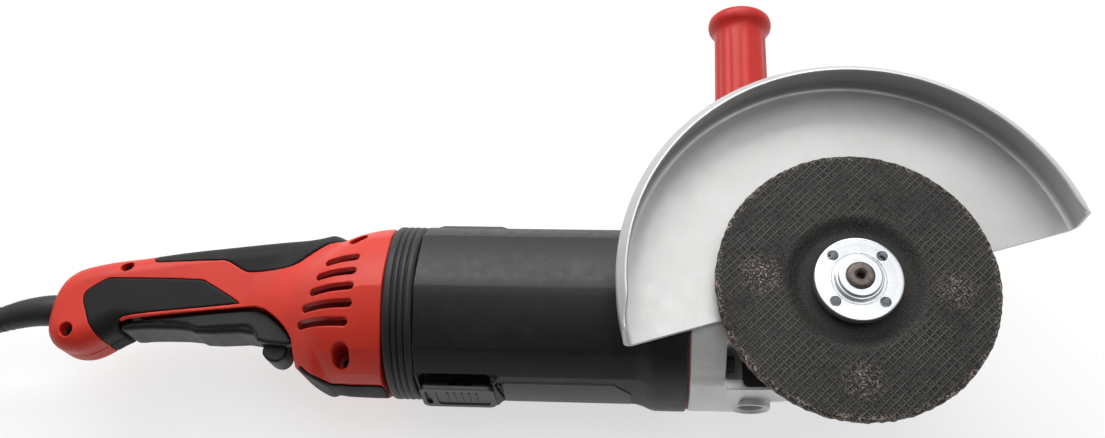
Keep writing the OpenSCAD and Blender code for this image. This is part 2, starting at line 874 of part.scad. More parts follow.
module trigger() {
    color("black") at_axis() difference() {
        translate([0, 0, -trigger_half_w]) linear_extrude(height = 2 * trigger_half_w) polygon([
            [-409, -13], [-409, -15.5], [-397, -16.3], [-369, -16.8], [-362, -19.6], [-331, -17.6],
            [-326, -22], [-305, -24], [-303, -20], [-303, -10], [-308, -3], [-404, -3]
        ]);
        translate([0, 0, -9.3]) linear_extrude(height = 18.6) polygon([
            [-327, -30], [-327, -12], [-301, -12], [-301, -30]
        ]);
        translate([trigger_pivot[0], trigger_pivot[1], -20]) cylinder(h = 40, r = 2 + running_gap);
        translate([lever_pivot[0], lever_pivot[1], -20]) cylinder(h = 40, r = 1.5);
    }
}

module trigger_pin() {
    color("silver") at_axis()
        translate([trigger_pivot[0], trigger_pivot[1], -16.5]) cylinder(h = 33, r = 2);
}

module lock_off_lever() {
    color("black") at_axis() {
        translate([0, 0, -9]) linear_extrude(height = 18) polygon([
            [-324, -23], [-324, -28.5], [-319.5, -34], [-315, -35], [-311, -33], [-309.5, -29],
            [-310, -21], [-312, -15], [-320, -15]
        ]);
        translate([lever_pivot[0], lever_pivot[1], -11.5]) cylinder(h = 23, r = 1.5 - running_gap);
    }
}

module switch_unit() {
    color("black") at_axis() {
        box([-390, 7, -10], [-345, 22, 10]);
        box([-362, 4, -3], [-354, 7 + eps, 3]);
    }
}

module cable_clamp() {
    color("black") at_axis() {
        box([-433, -9, 4], [-425, 9, 9]);
        box([-433, -9, -9], [-425, 9, -4]);
    }
}

// ---------- cord ----------

module cord_sleeve() {
    color("black") tube(
        [for (p = SLEEVE) [p[0], p[1], p[2]]], [for (p = SLEEVE) p[3]], 16,
        [[-1, 0, 0], [-1, 0, 0]]
    );
}

module cord_lead() {
    color("black") tube(CORD_LEAD, [for (p = CORD_LEAD) cord_r], 12, [[-1, 0, 0], [-1, 0, 0]]);
}

module cord_coil() {
    inner = coil_outer_turn - (coil_columns - 1) * coil_pitch - cord_r;
    outer = coil_outer_turn + cord_r;
    high = tie_t + (coil_layers - 1) * coil_pitch + 2 * cord_r;
    color("black") translate(coil_centre) rotate_extrude($fn = fine_fn)
        translate([inner, tie_t]) square([outer - inner, high - tie_t]);
}

module cord_tail() {
    color("black") tube(CORD_TAIL, [for (p = CORD_TAIL) cord_r], 12, [[0, 1, 0], [0, 1, 0]]);
}

module coil_tie() {
    inner = coil_outer_turn - (coil_columns - 1) * coil_pitch - cord_r;
    outer = coil_outer_turn + cord_r;
    high = tie_t + (coil_layers - 1) * coil_pitch + 2 * cord_r;
    half_w = 9;
    sag = outer - sqrt(outer * outer - half_w * half_w);
    color("gray") translate(coil_centre) difference() {
        box([inner - tie_t - sag, -half_w, 0], [outer + tie_t, half_w, high + tie_t]);
        box([inner - sag, -half_w - 1, tie_t], [outer, half_w + 1, high]);
    }
}

module plug() {
    color("black") translate([CORD_TAIL[8][0], 100, plug_axis_h]) rotate([-90, 0, 0])
        difference() {
            rotate_extrude() polygon([
                [0, 0], [6, 0], [8, 14], [12, 24], [14, 36], [15, 42], [19.3, 44], [19.3, 56],
                [18, 57.5], [0, 57.5]
            ]);
            for (s = [-1, 1]) translate([s * 9.5, 0, 46]) cylinder(h = 20, r = 2.4);
        }
}

module plug_pins() {
    color("silver") translate([CORD_TAIL[8][0], 100, plug_axis_h]) rotate([-90, 0, 0])
        for (s = [-1, 1]) translate([s * 9.5, 0, 46]) cylinder(h = 30.5, r = 2.4);
}

// ---------- side handle ----------

module side_axis() {
    at_axis() translate([-side_x, 0, 0]) rotate([-90, 0, 0]) children();
}

module side_handle_grip() {
    color("tomato") side_axis() difference() {
        rotate_extrude($fn = fine_fn) polygon([
            [0, 57], [24, 57], [25, 58], [25, 60.5], [23, 62], [side_r + 0.8, 66],
            [side_r + 1.2, 90], [side_r, 130], [side_r - 0.3, side_end - 11],
            [side_flange_r, side_end - 7], [side_flange_r, side_end - 2],
            [side_flange_r - 2, side_end], [0, side_end]
        ]);
        translate([0, 0, 50]) cylinder(h = 51, r = 6);
    }
}

module side_handle_stud() {
    color("silver") side_axis() {
        translate([0, 0, 29]) cylinder(h = 28, r = 7);
        translate([0, 0, 56]) cylinder(h = 45, r = 6);
    }
}

module side_handle_damper() {
    color("black") side_axis() z_ring(far_boss_end, 57 - far_boss_end, 15, 7.6);
}

gear_head();
head_gasket();
bearing_plate();
bearing_plate_screws();
head_screws();
spindle();
crown_gear();
spindle_ball_bearing();
spindle_needle_bearing();
inner_flange();
grinding_disc();
clamp_nut();
lock_button();
lock_spring();
guard();
guard_collar();
guard_clamp_band();
guard_clamp_lever();
motor_housing();
label_plate();
brush_cover_left();
brush_cover_right();
brush_holders();
carbon_brushes();
stator_core();
field_coils();
air_baffle();
armature_shaft();
armature_core();
armature_windings();
commutator();
fan();
pinion();
rotor_front_bearing();
rotor_rear_bearing();
damping_ring();
swivel_ring();
handle_shell_near();
handle_shell_far();
soft_grip_near();
soft_grip_far();
soft_grip_top();
soft_strip();
handle_screw_set();
trigger();
trigger_pin();
lock_off_lever();
switch_unit();
cable_clamp();
cord_sleeve();
cord_lead();
cord_coil();
cord_tail();
coil_tie();
plug();
plug_pins();
side_handle_grip();
side_handle_stud();
side_handle_damper();
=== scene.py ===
"""The looks of an angle grinder that lies on its back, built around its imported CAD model.

Shapes are written in millimetres from the point where the spindle axis meets the motor
axis: x runs towards the gear head, y towards the side handle, z along the spindle.
Every mesh is moved up by the motor axis's height as it is made.
"""

import functools
import itertools
import json
import math

import bpy
import numpy as np
from mathutils import Euler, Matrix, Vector


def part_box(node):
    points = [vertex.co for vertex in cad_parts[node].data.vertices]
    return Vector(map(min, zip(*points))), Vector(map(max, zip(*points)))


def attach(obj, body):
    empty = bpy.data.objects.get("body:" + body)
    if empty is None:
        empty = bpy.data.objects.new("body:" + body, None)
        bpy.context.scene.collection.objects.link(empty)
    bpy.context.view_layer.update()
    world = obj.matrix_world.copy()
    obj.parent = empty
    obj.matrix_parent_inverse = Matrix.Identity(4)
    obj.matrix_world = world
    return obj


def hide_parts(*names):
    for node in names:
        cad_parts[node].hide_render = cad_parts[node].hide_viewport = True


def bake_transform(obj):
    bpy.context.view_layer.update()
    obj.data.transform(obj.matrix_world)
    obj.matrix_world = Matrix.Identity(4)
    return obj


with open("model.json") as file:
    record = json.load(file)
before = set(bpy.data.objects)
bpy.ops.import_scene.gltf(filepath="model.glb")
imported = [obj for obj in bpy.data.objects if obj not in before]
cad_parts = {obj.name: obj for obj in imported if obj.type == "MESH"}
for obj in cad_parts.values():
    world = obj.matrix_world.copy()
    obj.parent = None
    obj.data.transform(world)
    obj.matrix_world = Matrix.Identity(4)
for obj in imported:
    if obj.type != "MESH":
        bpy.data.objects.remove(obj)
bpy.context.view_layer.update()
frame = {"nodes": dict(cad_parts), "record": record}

MM = 0.001


def box_mm(node):
    """A CAD node's lowest and highest corner, in millimetres from the motor axis."""
    low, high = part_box(node)
    lift = np.array([0, 0, AXIS_H])
    return np.array(low) / MM - lift, np.array(high) / MM - lift


shaft_low, shaft_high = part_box("armature_core")
AXIS_H = (shaft_low[2] + shaft_high[2]) / 2 / MM
MOTOR_HIGH = box_mm("motor_housing")[1]
MOUTH_X = box_mm("handle_shell_near")[1][0]
GUARD_LOW, GUARD_HIGH = box_mm("guard")
DISC_R = box_mm("grinding_disc")[1][0]
SPINDLE_BOTTOM, SPINDLE_TOP = (corner[2] for corner in box_mm("spindle"))
SIDE_END = box_mm("side_handle_grip")[1][1]
PLUG_LOW, PLUG_HIGH = box_mm("plug")


def place(x, y, z):
    """A point given in millimetres from the motor axis, in the row frame in metres."""
    return Vector((x * MM, y * MM, (z + AXIS_H) * MM))


def new_object(name, data):
    thing = bpy.data.objects.new(name, data)
    bpy.context.scene.collection.objects.link(thing)
    return thing


# ---- camera


def add_camera():
    data = bpy.data.cameras.new("camera")
    data.lens = 36.48
    data.sensor_width = 36
    data.clip_start = 0.01
    camera = new_object("camera", data)
    camera.location = (-0.10989, -0.20524, 0.65899)
    camera.rotation_euler = Euler((0.41327, 0.06851, 0.04344))
    bpy.context.scene.camera = camera


add_camera()

# ---- materials


LOOKS = {}
WEAVE = 3.4  # from one thread of the disc's mesh to the next
GRIT_SPOTS = ((176, 49, 0.9), (270, 52, 0.65), (-4, 50, 0.5))  # angle, reach and strength of the bare patches
RESIN = (0.004, 0.0038, 0.0035)


class Look:
    """One procedural material: a Principled shader with layers added to it."""

    def __init__(self, name, **constants):
        self.material = LOOKS[name] = bpy.data.materials.new(name)
        self.material.use_nodes = True
        self.tree = self.material.node_tree
        self.shader = self.tree.nodes["Principled BSDF"]
        self.place = self.add("ShaderNodeTexCoord").outputs["Object"]
        self.height = None
        for socket, value in constants.items():
            self.shader.inputs[socket.replace("_", " ")].default_value = value

    def add(self, kind, inputs=(), **settings):
        node = self.tree.nodes.new(kind)
        for key, value in settings.items():
            setattr(node, key, value)
        for socket, value in dict(inputs).items():
            self.set(node.inputs[socket], value)
        return node

    def set(self, socket, value):
        if isinstance(value, bpy.types.NodeSocket):
            self.tree.links.new(value, socket)
        else:
            socket.default_value = value

    def math(self, operation, a, b=0.0):
        return self.add("ShaderNodeMath", {0: a, 1: b}, operation=operation).outputs[0]

    def times(self, first, *others):
        for value in others:
            first = self.math("MULTIPLY", first, value)
        return first

    def distance(self, a, b):
        return self.math("SQRT", self.math("ADD", self.times(a, a), self.times(b, b)))

    def noise(self, scale, detail=2.0, rough=0.5, at=None):
        inputs = {"Vector": at or self.place, "Scale": scale, "Detail": detail, "Roughness": rough}
        return self.add("ShaderNodeTexNoise", inputs).outputs["Fac"]

    def wave(self, scale, distortion, direction):
        inputs = {"Vector": self.place, "Scale": scale, "Distortion": distortion}
        return self.add("ShaderNodeTexWave", inputs, bands_direction=direction).outputs["Fac"]

    def ramp(self, value, low, high, out_low=0.0, out_high=1.0):
        inputs = {"Value": value, "From Min": low, "From Max": high, "To Min": out_low, "To Max": out_high}
        return self.add("ShaderNodeMapRange", inputs).outputs["Result"]

    def mix(self, amount, a, b):
        node = self.add("ShaderNodeMix", data_type="RGBA")
        self.set(node.inputs[0], amount)
        for socket, value in ((node.inputs[6], a), (node.inputs[7], b)):
            self.set(socket, value if isinstance(value, bpy.types.NodeSocket) else (*value, 1))
        return node.outputs[2]

    def tone(self, value, a, b, low=0.35, high=0.7):
        """Colour a where the value is low, turning to b where it is high."""
        return self.mix(self.ramp(value, low, high), a, b)

    def along(self, axis):
        return self.add("ShaderNodeSeparateXYZ", {0: self.place}).outputs[axis]

    def colour(self, value):
        self.set(self.shader.inputs["Base Color"], value)

    def rough(self, *ramp):
        """The roughness, as a ramp of a value."""
        self.set(self.shader.inputs["Roughness"], self.ramp(*ramp))

    def bump(self, height, distance, strength=1.0):
        """Adds a layer of bump over those already there; distance is in metres."""
        node = self.add("ShaderNodeBump", {"Height": height, "Distance": distance, "Strength": strength})
        if self.height is not None:
            self.set(node.inputs["Normal"], self.height)
        self.height = node.outputs["Normal"]
        self.set(self.shader.inputs["Normal"], self.height)


def moulded(name, colour, pale, roughness, grain=0.00002, grain_scale=2600, spread=0.06, dust=0.0, shine=0.45):
    """Moulded plastic: fine spark-eroded grain, faint flow marks and a little dust."""
    look = Look(name, Specular_IOR_Level=shine)
    tone = look.tone(look.noise(38, 4, 0.6), colour, pale)
    if dust:
        specks = look.ramp(look.noise(900, 3, 0.7), 0.66, 0.74, 0, dust)
        tone = look.mix(specks, tone, (0.42, 0.41, 0.39))
    look.colour(tone)
    look.rough(look.noise(90, 5, 0.65), 0.3, 0.75, roughness - spread, roughness + spread)
    look.bump(look.noise(grain_scale, 2, 0.6), grain, 0.6)
    look.bump(look.noise(260, 3, 0.5), 0.00003, 0.35)


def mottled(name, colour, pale, rough, metal=1.0, cloud=(600, 4, 0.6), grain=(1700, 2, 0.6), depth=0.00002,
            strength=0.4):
    """Plain metal with a cloudy tone and a fine grain."""
    look = Look(name, Metallic=metal)
    patches = look.noise(*cloud)
    look.colour(look.tone(patches, colour, pale))
    look.rough(patches, 0.3, 0.7, *rough)
    look.bump(look.noise(*grain), depth, strength)


def turned(name, colour, pale, roughness, metal=1.0):
    """Turned metal: fine rings about the spindle axis and a mottled plating."""
    look = Look(name, Metallic=metal)
    radius = look.distance(look.along(0), look.along(1))
    lines = look.add("ShaderNodeCombineXYZ", {0: radius, 2: look.along(2)}).outputs[0]
    cut = look.noise(900, 3, 0.7, lines)
    look.colour(look.tone(look.noise(110, 4, 0.6), colour, pale))
    look.rough(cut, 0.3, 0.7, roughness - 0.08, roughness + 0.1)
    look.bump(cut, 0.00002, 0.5)


def housing_black():
    look = Look("housing_black", Specular_IOR_Level=0.4)
    tone = look.tone(look.noise(22, 4, 0.62), (0.004, 0.0044, 0.0046), (0.0068, 0.007, 0.0069))
    scuff = look.noise(160, 6, 0.7)
    look.colour(look.mix(look.ramp(scuff, 0.56, 0.75, 0, 0.14), tone, (0.04, 0.038, 0.033)))
    look.rough(scuff, 0.35, 0.7, 0.4, 0.54)
    look.bump(look.noise(2400, 2, 0.6), 0.00002, 0.6)
    look.bump(look.noise(140, 4, 0.6), 0.00006, 0.3)


def cast_aluminium():
    """Bead-blasted and lacquered pressure casting, with a sandy sparkle."""
    look = Look("cast_aluminium", Metallic=0.4)
    sand = look.noise(1300, 4, 0.7)
    tone = look.tone(look.noise(45, 3, 0.5), (0.6, 0.6, 0.595), (0.68, 0.68, 0.675))
    look.colour(look.mix(look.ramp(sand, 0.56, 0.72, 0, 0.5), tone, (0.4, 0.4, 0.4)))
    look.rough(sand, 0.35, 0.7, 0.38, 0.58)
    look.bump(sand, 0.00008, 0.6)
    look.bump(look.noise(420, 3, 0.6), 0.00005, 0.4)


def guard_steel():
    """Satin silver powder coat: faint orange peel, metal flake and light scuffs."""
    look = Look("guard_steel", Metallic=0.6, Coat_Weight=0.15, Coat_Roughness=0.3)
    flake = look.noise(2600, 2, 0.7)
    tone = look.tone(look.noise(16, 4, 0.6), (0.46, 0.46, 0.455), (0.52, 0.52, 0.515), 0.35, 0.68)
    tone = look.mix(look.ramp(flake, 0.58, 0.7, 0, 0.3), tone, (0.75, 0.75, 0.75))
    scuff = look.ramp(look.noise(310, 6, 0.75), 0.63, 0.74, 0, 0.35)
    look.colour(look.mix(scuff, tone, (0.42, 0.41, 0.4)))
    look.rough(look.noise(120, 5, 0.6), 0.3, 0.75, 0.36, 0.5)
    look.bump(look.noise(700, 2, 0.5), 0.00003, 0.35)
    look.bump(flake, 0.00001, 0.3)


def abrasive():
    """Glass-fibre mesh pressed into dark resin and grit, with bare grit that glitters, and painted shade in the dished
    middle.
    """
    look = Look("abrasive", Specular_IOR_Level=0.3)
    x, y = look.along(0), look.along(1)
    radius = look.distance(x, y)
    wander = look.times(look.math("SUBTRACT", look.noise(70), 0.5), 0.0012)
    grit = look.noise(1250, 3, 0.75)
    speck = look.noise(950, 2, 0.6)
    tone = look.tone(grit, RESIN, (0.062, 0.058, 0.052), 0.46, 0.66)
    tone = look.mix(look.ramp(look.noise(34, 3, 0.6), 0.42, 0.68, 0, 0.3), tone, (0.04, 0.036, 0.032))
    dish = look.ramp(radius, 0.033, 0.04)
    patchy = look.ramp(look.noise(48, 3, 0.6), 0.3, 0.55)
    for operation, shade, share in (("SUBTRACT", (0.24, 0.23, 0.21), 0.7), ("ADD", (0.19, 0.18, 0.165), 0.55)):
        line = look.math("ADD", look.times(look.math(operation, x, y), 0.7071), wander)
        phase = look.math("FRACT", look.times(line, 1 / (WEAVE * MM)))
        off = look.math("ABSOLUTE", look.math("SUBTRACT", phase, 0.5))
        beside = look.times(look.ramp(off, 0.26, 0.35), look.ramp(off, 0.47, 0.42))
        tone = look.mix(look.times(beside, dish, 0.9), tone, RESIN)
        tone = look.mix(look.times(look.ramp(off, 0.44, 0.485), dish, patchy, share), tone, shade)
    rim = look.ramp(radius, DISC_R * MM - 0.004, DISC_R * MM)
    bare = look.times(rim, look.ramp(look.noise(260, 2, 0.6), 0.4, 0.6))
    for degrees, reach, share in GRIT_SPOTS:
        angle = math.radians(degrees)
        dx = look.math("SUBTRACT", x, reach * MM * math.cos(angle))
        dy = look.math("SUBTRACT", y, reach * MM * math.sin(angle))
        spot = look.times(look.ramp(look.distance(dx, dy), 0.0125, 0.002), look.ramp(speck, 0.42, 0.6), share)
        bare = look.math("MAXIMUM", bare, spot)
    glitter = look.times(bare, look.ramp(look.noise(1250, 1, 0.4), 0.5, 0.62), 0.85)
    tone = look.mix(glitter, tone, (0.62, 0.47, 0.4))
    # Painted shade: the dished middle round the nut is darkened, more towards the nut, from 36 mm in to 24 mm.
    hub = look.times(look.ramp(radius, 0.036, 0.024), 0.6)
    look.colour(look.mix(hub, tone, (0.02, 0.019, 0.018)))
    look.rough(grit, 0.4, 0.7, 0.72, 0.45)
    look.bump(grit, 0.00035, 0.9)
    look.bump(speck, 0.0002, 0.6)


def copper():
    """Rows of enamelled wire lying side by side."""
    look = Look("copper", Metallic=0.8)
    rows = look.wave(260, 0.6, "Y")
    look.colour(look.mix(rows, (0.14, 0.05, 0.022), (0.56, 0.25, 0.11)))
    look.rough(look.noise(300), 0.3, 0.7, 0.25, 0.42)
    look.bump(rows, 0.0003, 0.8)


def tie_strap():
    look = Look("tie_strap")
    weave = look.times(look.wave(420, 0.2, "Y"), look.wave(420, 0.2, "Z"))
    look.colour(look.mix(weave, (0.012, 0.012, 0.014), (0.05, 0.05, 0.056)))
    look.rough(look.noise(900), 0.3, 0.7, 0.7, 0.9)
    look.bump(weave, 0.0003, 0.8)


moulded("handle_red", (0.56, 0.032, 0.017), (0.5, 0.028, 0.015), 0.44, dust=0.03, shine=0.32)
moulded("grip_red", (0.47, 0.018, 0.012), (0.42, 0.015, 0.01), 0.4, dust=0.03, shine=0.3)
moulded("soft_black", (0.005, 0.005, 0.0054), (0.0075, 0.0075, 0.008), 0.6, 0.00003, 1900, 0.05, 0.02, 0.24)
moulded("trigger_black", (0.007, 0.0075, 0.008), (0.01, 0.0105, 0.011), 0.48, dust=0.015, shine=0.35)
moulded("label_black", (0.012, 0.0125, 0.0135), (0.016, 0.0165, 0.0175), 0.34, 0.00001, 3200, 0.04)
moulded("ring_black", (0.008, 0.008, 0.0085), (0.012, 0.012, 0.012), 0.52, 0.00002, 2200, 0.05, 0.015, 0.4)
moulded("cord_rubber", (0.012, 0.0125, 0.013), (0.017, 0.0175, 0.018), 0.5, 0.00003, 1500, 0.06, 0.02, 0.4)
moulded("button_red", (0.6, 0.045, 0.03), (0.55, 0.04, 0.028), 0.32, 0.00001)
moulded("red_gasket", (0.16, 0.022, 0.02), (0.2, 0.03, 0.028), 0.6)
mottled("brass", (0.5, 0.33, 0.12), (0.62, 0.44, 0.18), (0.23, 0.4))
mottled("carbon", (0.012, 0.012, 0.012), (0.03, 0.03, 0.03), (0.53, 0.7), 0.1)
mottled("lamination", (0.2, 0.2, 0.21), (0.3, 0.3, 0.31), (0.33, 0.5))
mottled("dark_steel", (0.085, 0.068, 0.06), (0.2, 0.17, 0.155), (0.42, 0.62), 0.55,
        (420, 5, 0.7), (2200, 3, 0.7), 0.00004, 0.6)
mottled("black_metal", (0.005, 0.0055, 0.0055), (0.012, 0.012, 0.012), (0.5, 0.7), 0.2,
        (260, 4, 0.6), (1800, 3, 0.6), 0.00003, 0.5)
turned("zinc_steel", (0.6, 0.62, 0.64), (0.7, 0.715, 0.73), 0.3, 0.9)
turned("bearing_steel", (0.62, 0.62, 0.63), (0.72, 0.72, 0.73), 0.22)
for make in (housing_black, cast_aluminium, guard_steel, abrasive, copper, tie_strap):
    make()

# ---- mesh tools


def new_piece(name, points, faces, look, body, replaces, normals=None, sharp=None):
    """A mesh piece that stands for a CAD node, riding on body if it has one.

    The points are in millimetres from the motor axis. Edges sharper than sharp degrees stay sharp.
    """
    mesh = bpy.data.meshes.new(name)
    points = (np.asarray(points, float) + [0, 0, AXIS_H]) * MM
    faces = [list(f) for f in faces]
    fans = np.array([(f[0], b, c) for f in faces for b, c in zip(f[1:-1], f[2:])])
    a, b, c = (points[fans[:, i]] for i in range(3))
    if (a * np.cross(b, c)).sum() < 0:
        faces = [f[::-1] for f in faces]
    mesh.from_pydata(points.tolist(), [], faces)
    mesh.validate()
    mesh.shade_smooth()
    if normals is not None:
        mesh.normals_split_custom_set_from_vertices(normals.tolist())
    if sharp:
        sharp_edges(mesh, sharp)
    piece = new_object(name, mesh)
    mesh.materials.append(LOOKS[look])
    if body:
        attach(piece, body)
    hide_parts(replaces)
    return piece


def slope(field, points, step):
    """The value and the gradient of a field at points."""
    def at(p):
        return np.broadcast_to(field(p[:, 0], p[:, 1], p[:, 2]), len(p))

    value = at(points)
    gradient = np.empty_like(points)
    for axis in range(3):
        shift = np.zeros(3)
        shift[axis] = step
        gradient[:, axis] = (at(points + shift) - value) / step
    return value, gradient


def skin_of(field, low, high, step):
    """The surface where a field is zero, as points, quads and normals (surface nets)."""
    axes = [np.arange(a - 1.5 * step, b + 2.5 * step, step) for a, b in zip(low, high)]
    shape = tuple(len(a) for a in axes)
    grid = np.meshgrid(*axes, indexing="ij", sparse=True)
    value = np.array(np.broadcast_to(field(*grid), shape))
    for axis in range(3):
        for edge in (0, -1):
            np.moveaxis(value, axis, 0)[edge] = step
    inside = value < 0
    cells = tuple(n - 1 for n in shape)
    corners = list(itertools.product((0, 1), repeat=3))

    def corner(a, c):
        return a[c[0] : c[0] + cells[0], c[1] : c[1] + cells[1], c[2] : c[2] + cells[2]]

    count = sum(corner(inside, c).astype(np.int8) for c in corners)
    active = (count > 0) & (count < len(corners))
    where = np.argwhere(active)
    index = np.full(cells, -1)
    index[active] = np.arange(len(where))
    total = np.zeros((len(where), 3))
    hits = np.zeros(len(where))
    for axis, near in itertools.product(range(3), corners):
        if near[axis]:
            continue
        start = where + near
        end = start.copy()
        end[:, axis] += 1
        a, b = value[tuple(start.T)], value[tuple(end.T)]
        cross = (a < 0) != (b < 0)
        at = start[cross].astype(float)
        at[:, axis] += a[cross] / (a[cross] - b[cross])
        total[cross] += at
        hits[cross] += 1
    points = total / hits[:, None] * step + [a[0] for a in axes]
    for _ in range(2):
        d, g = slope(field, points, step * 0.2)
        move = g * (d / np.maximum((g * g).sum(1), 0.2))[:, None]
        size = np.linalg.norm(move, axis=1, keepdims=True)
        points -= move * np.minimum(1, 0.7 * step / np.maximum(size, 1e-9))
    quads = []
    for axis in range(3):
        u, v = (axis + 1) % 3, (axis + 2) % 3
        ahead = np.take(inside, range(1, shape[axis]), axis)
        behind = np.take(inside, range(0, shape[axis] - 1), axis)
        for sign, edges in ((1, behind & ~ahead), (-1, ahead & ~behind)):
            e = np.argwhere(edges)
            ring = []
            for du, dv in ((-1, -1), (0, -1), (0, 0), (-1, 0))[::sign]:
                c = e.copy()
                c[:, u] += du
                c[:, v] += dv
                ring.append(index[tuple(c.T)])
            quads.append(np.stack(ring, 1))
    _, g = slope(field, points, step * 0.3)
    normals = g / np.maximum(np.linalg.norm(g, axis=1, keepdims=True), 1e-9)
    return points, np.concatenate(quads), normals


def field_piece(name, field, low, high, steps, look, body, replaces):
    """A piece meshed from a field in the box from low to high, with the fine step, the second of steps."""
    points, quads, normals = skin_of(field, low, high, steps[1])
    return new_piece(name, points, quads, look, body, replaces, normals)


def sharp_edges(mesh, degrees):
    """Marks edges sharper than an angle, so that smooth shading stops there."""
    mesh.update()
    normals = np.array([p.normal for p in mesh.polygons])
    faces_of = {}
    for p in mesh.polygons:
        for key in p.edge_keys:
            faces_of.setdefault(key, []).append(p.index)
    limit = math.cos(math.radians(degrees))
    for edge in mesh.edges:
        pair = faces_of.get(edge.key, [])
        if len(pair) == 2 and normals[pair[0]] @ normals[pair[1]] < limit:
            edge.use_edge_sharp = True


def largest(*values):
    return functools.reduce(np.maximum, values)


def smallest(*values):
    return functools.reduce(np.minimum, values)


def distance(a, b):
    return np.sqrt(a * a + b * b)


def four_holes(x, y, circle):
    """Distance to the nearest of four holes on the diagonals of a circle."""
    return distance(abs(x) - circle / 2 * 0.7071, abs(y) - circle / 2 * 0.7071)


def both(a, b, r):
    """The part in both a and b, with its edge rounded to radius r."""
    corner = np.sqrt(np.maximum(a + r, 0) ** 2 + np.maximum(b + r, 0) ** 2)
    return np.minimum(-r, np.maximum(a, b)) + corner


def joined(a, b, r):
    """a and b together, with a fillet of radius r between them."""
    corner = np.sqrt(np.maximum(r - a, 0) ** 2 + np.maximum(r - b, 0) ** 2)
    return np.maximum(r, np.minimum(a, b)) - corner


def less(a, b, r):
    """a with b taken away, with its edge rounded to radius r."""
    return both(a, -b, r)


def box_field(x, y, z, low, high, r=0.0):
    centre = (np.array(low) + high) / 2
    half = (np.array(high) - low) / 2 - r
    d = [abs(v - c) - h for v, c, h in zip((x, y, z), centre, half)]
    outside = np.sqrt(sum(np.maximum(v, 0) ** 2 for v in d))
    return outside + np.minimum(largest(*d), 0) - r


def path_field(px, py, points):
    """Distance to an open line of points."""
    nearest = np.full(np.broadcast(px, py).shape, 1e9)
    for (ax, ay), (bx, by) in zip(points[:-1], points[1:]):
        ex, ey = bx - ax, by - ay
        wx, wy = px - ax, py - ay
        t = np.clip((wx * ex + wy * ey) / max(ex * ex + ey * ey, 1e-9), 0, 1)
        nearest = np.minimum(nearest, (wx - ex * t) ** 2 + (wy - ey * t) ** 2)
    return np.sqrt(nearest)


def outline_field(px, py, points):
    """Signed distance to a closed outline, negative inside it."""
    ring = np.concatenate([points, points[:1]])
    inside = False
    for (ax, ay), (bx, by) in zip(ring[:-1], ring[1:]):
        if ay != by:
            level = (py >= ay) != (py >= by)
            inside = inside ^ (level & (px - ax < (bx - ax) * (py - ay) / (by - ay)))
    return np.where(inside, -1, 1) * path_field(px, py, ring)


def rounded(points, rounds=2, closed=True):
    """An outline with its corners cut, again and again, into curves."""
    points = np.asarray(points, float)
    for _ in range(rounds):
        ahead = np.roll(points, -1, 0)
        near, far = points * 0.75 + ahead * 0.25, points * 0.25 + ahead * 0.75
        if closed:
            points = np.stack([near, far], 1).reshape(-1, points.shape[1])
        else:
            middle = np.stack([near[:-1], far[:-1]], 1).reshape(-1, points.shape[1])
            points = np.concatenate([points[:1], middle, points[-1:]])
    return points


def quads_between(rings, n, closed=False):
    """Quads between rings of n points each, and from the last ring to the first if closed."""
    i, k = np.meshgrid(np.arange(rings if closed else rings - 1), np.arange(n), indexing="ij")
    j, m = (i + 1) % rings, (k + 1) % n
    return np.stack([i * n + k, j * n + k, j * n + m, i * n + m], 2).reshape(-1, 4)


def lathe(profile, turns, wave=None):
    """A closed profile of (radius, height) turned about +Z, as points and quads."""
    profile = np.asarray(profile, float)
    angle = np.arange(turns) * 2 * math.pi / turns
    radius = np.repeat(profile[None, :, 0], turns, 0)
    height = np.repeat(profile[None, :, 1], turns, 0)
    if wave is not None:
        radius = radius + wave(radius, height, angle[:, None])
    points = np.stack([radius * np.cos(angle)[:, None], radius * np.sin(angle)[:, None], height], 2)
    return points.reshape(-1, 3), quads_between(turns, len(profile), closed=True)


def filleted(points, radii, steps=5):
    """A closed outline with each corner turned into an arc of its own radius."""
    points = [np.array(p, float) for p in points]
    result = []
    for i, p in enumerate(points):
        r = radii[i] if hasattr(radii, "__len__") else radii
        a, b = points[i - 1] - p, points[(i + 1) % len(points)] - p
        la, lb = np.linalg.norm(a), np.linalg.norm(b)
        reach = min(r, la * 0.45, lb * 0.45)
        if reach <= 0:
            result.append(p)
            continue
        start, end = p + a / la * reach, p + b / lb * reach
        for s in np.linspace(0, 1, steps):
            result.append((1 - s) ** 2 * start + 2 * s * (1 - s) * p + s * s * end)
    return np.array(result)


def swept(route, radii, sides):
    """A round tube along a route, closed at both ends, as points and faces."""
    route = np.asarray(route, float)
    along = np.gradient(route, axis=0)
    along /= np.linalg.norm(along, axis=1, keepdims=True)
    side = np.cross([0, 0, 1], along)
    side /= np.linalg.norm(side, axis=1, keepdims=True)
    up = np.cross(along, side)
    angle = np.arange(sides) * 2 * math.pi / sides
    spokes = np.cos(angle)[None, :, None] * side[:, None] + np.sin(angle)[None, :, None] * up[:, None]
    rings = route[:, None] + np.asarray(radii)[:, None, None] * spokes
    end = (len(route) - 1) * sides
    faces = quads_between(len(route), sides).tolist() + [range(sides), range(end + sides - 1, end - 1, -1)]
    return rings.reshape(-1, 3), faces


def smooth_route(points, per_span=4):
    """A Catmull-Rom curve through points."""
    points = np.asarray(points, float)
    padded = np.concatenate([[2 * points[0] - points[1]], points, [2 * points[-1] - points[-2]]])
    result = []
    for a, b, c, d in zip(padded[:-3], padded[1:-2], padded[2:-1], padded[3:]):
        for t in np.arange(per_span) / per_span:
            result.append(
                0.5 * (2 * b + (c - a) * t + (2 * a - 5 * b + 4 * c - d) * t**2 + (3 * b - a - 3 * c + d) * t**3)
            )
    result.append(points[-1])
    return np.array(result)


def smoothstep(t):
    t = np.clip(t, 0, 1)
    return t * t * (3 - 2 * t)


# ---- cord

CORD_R = 4.75
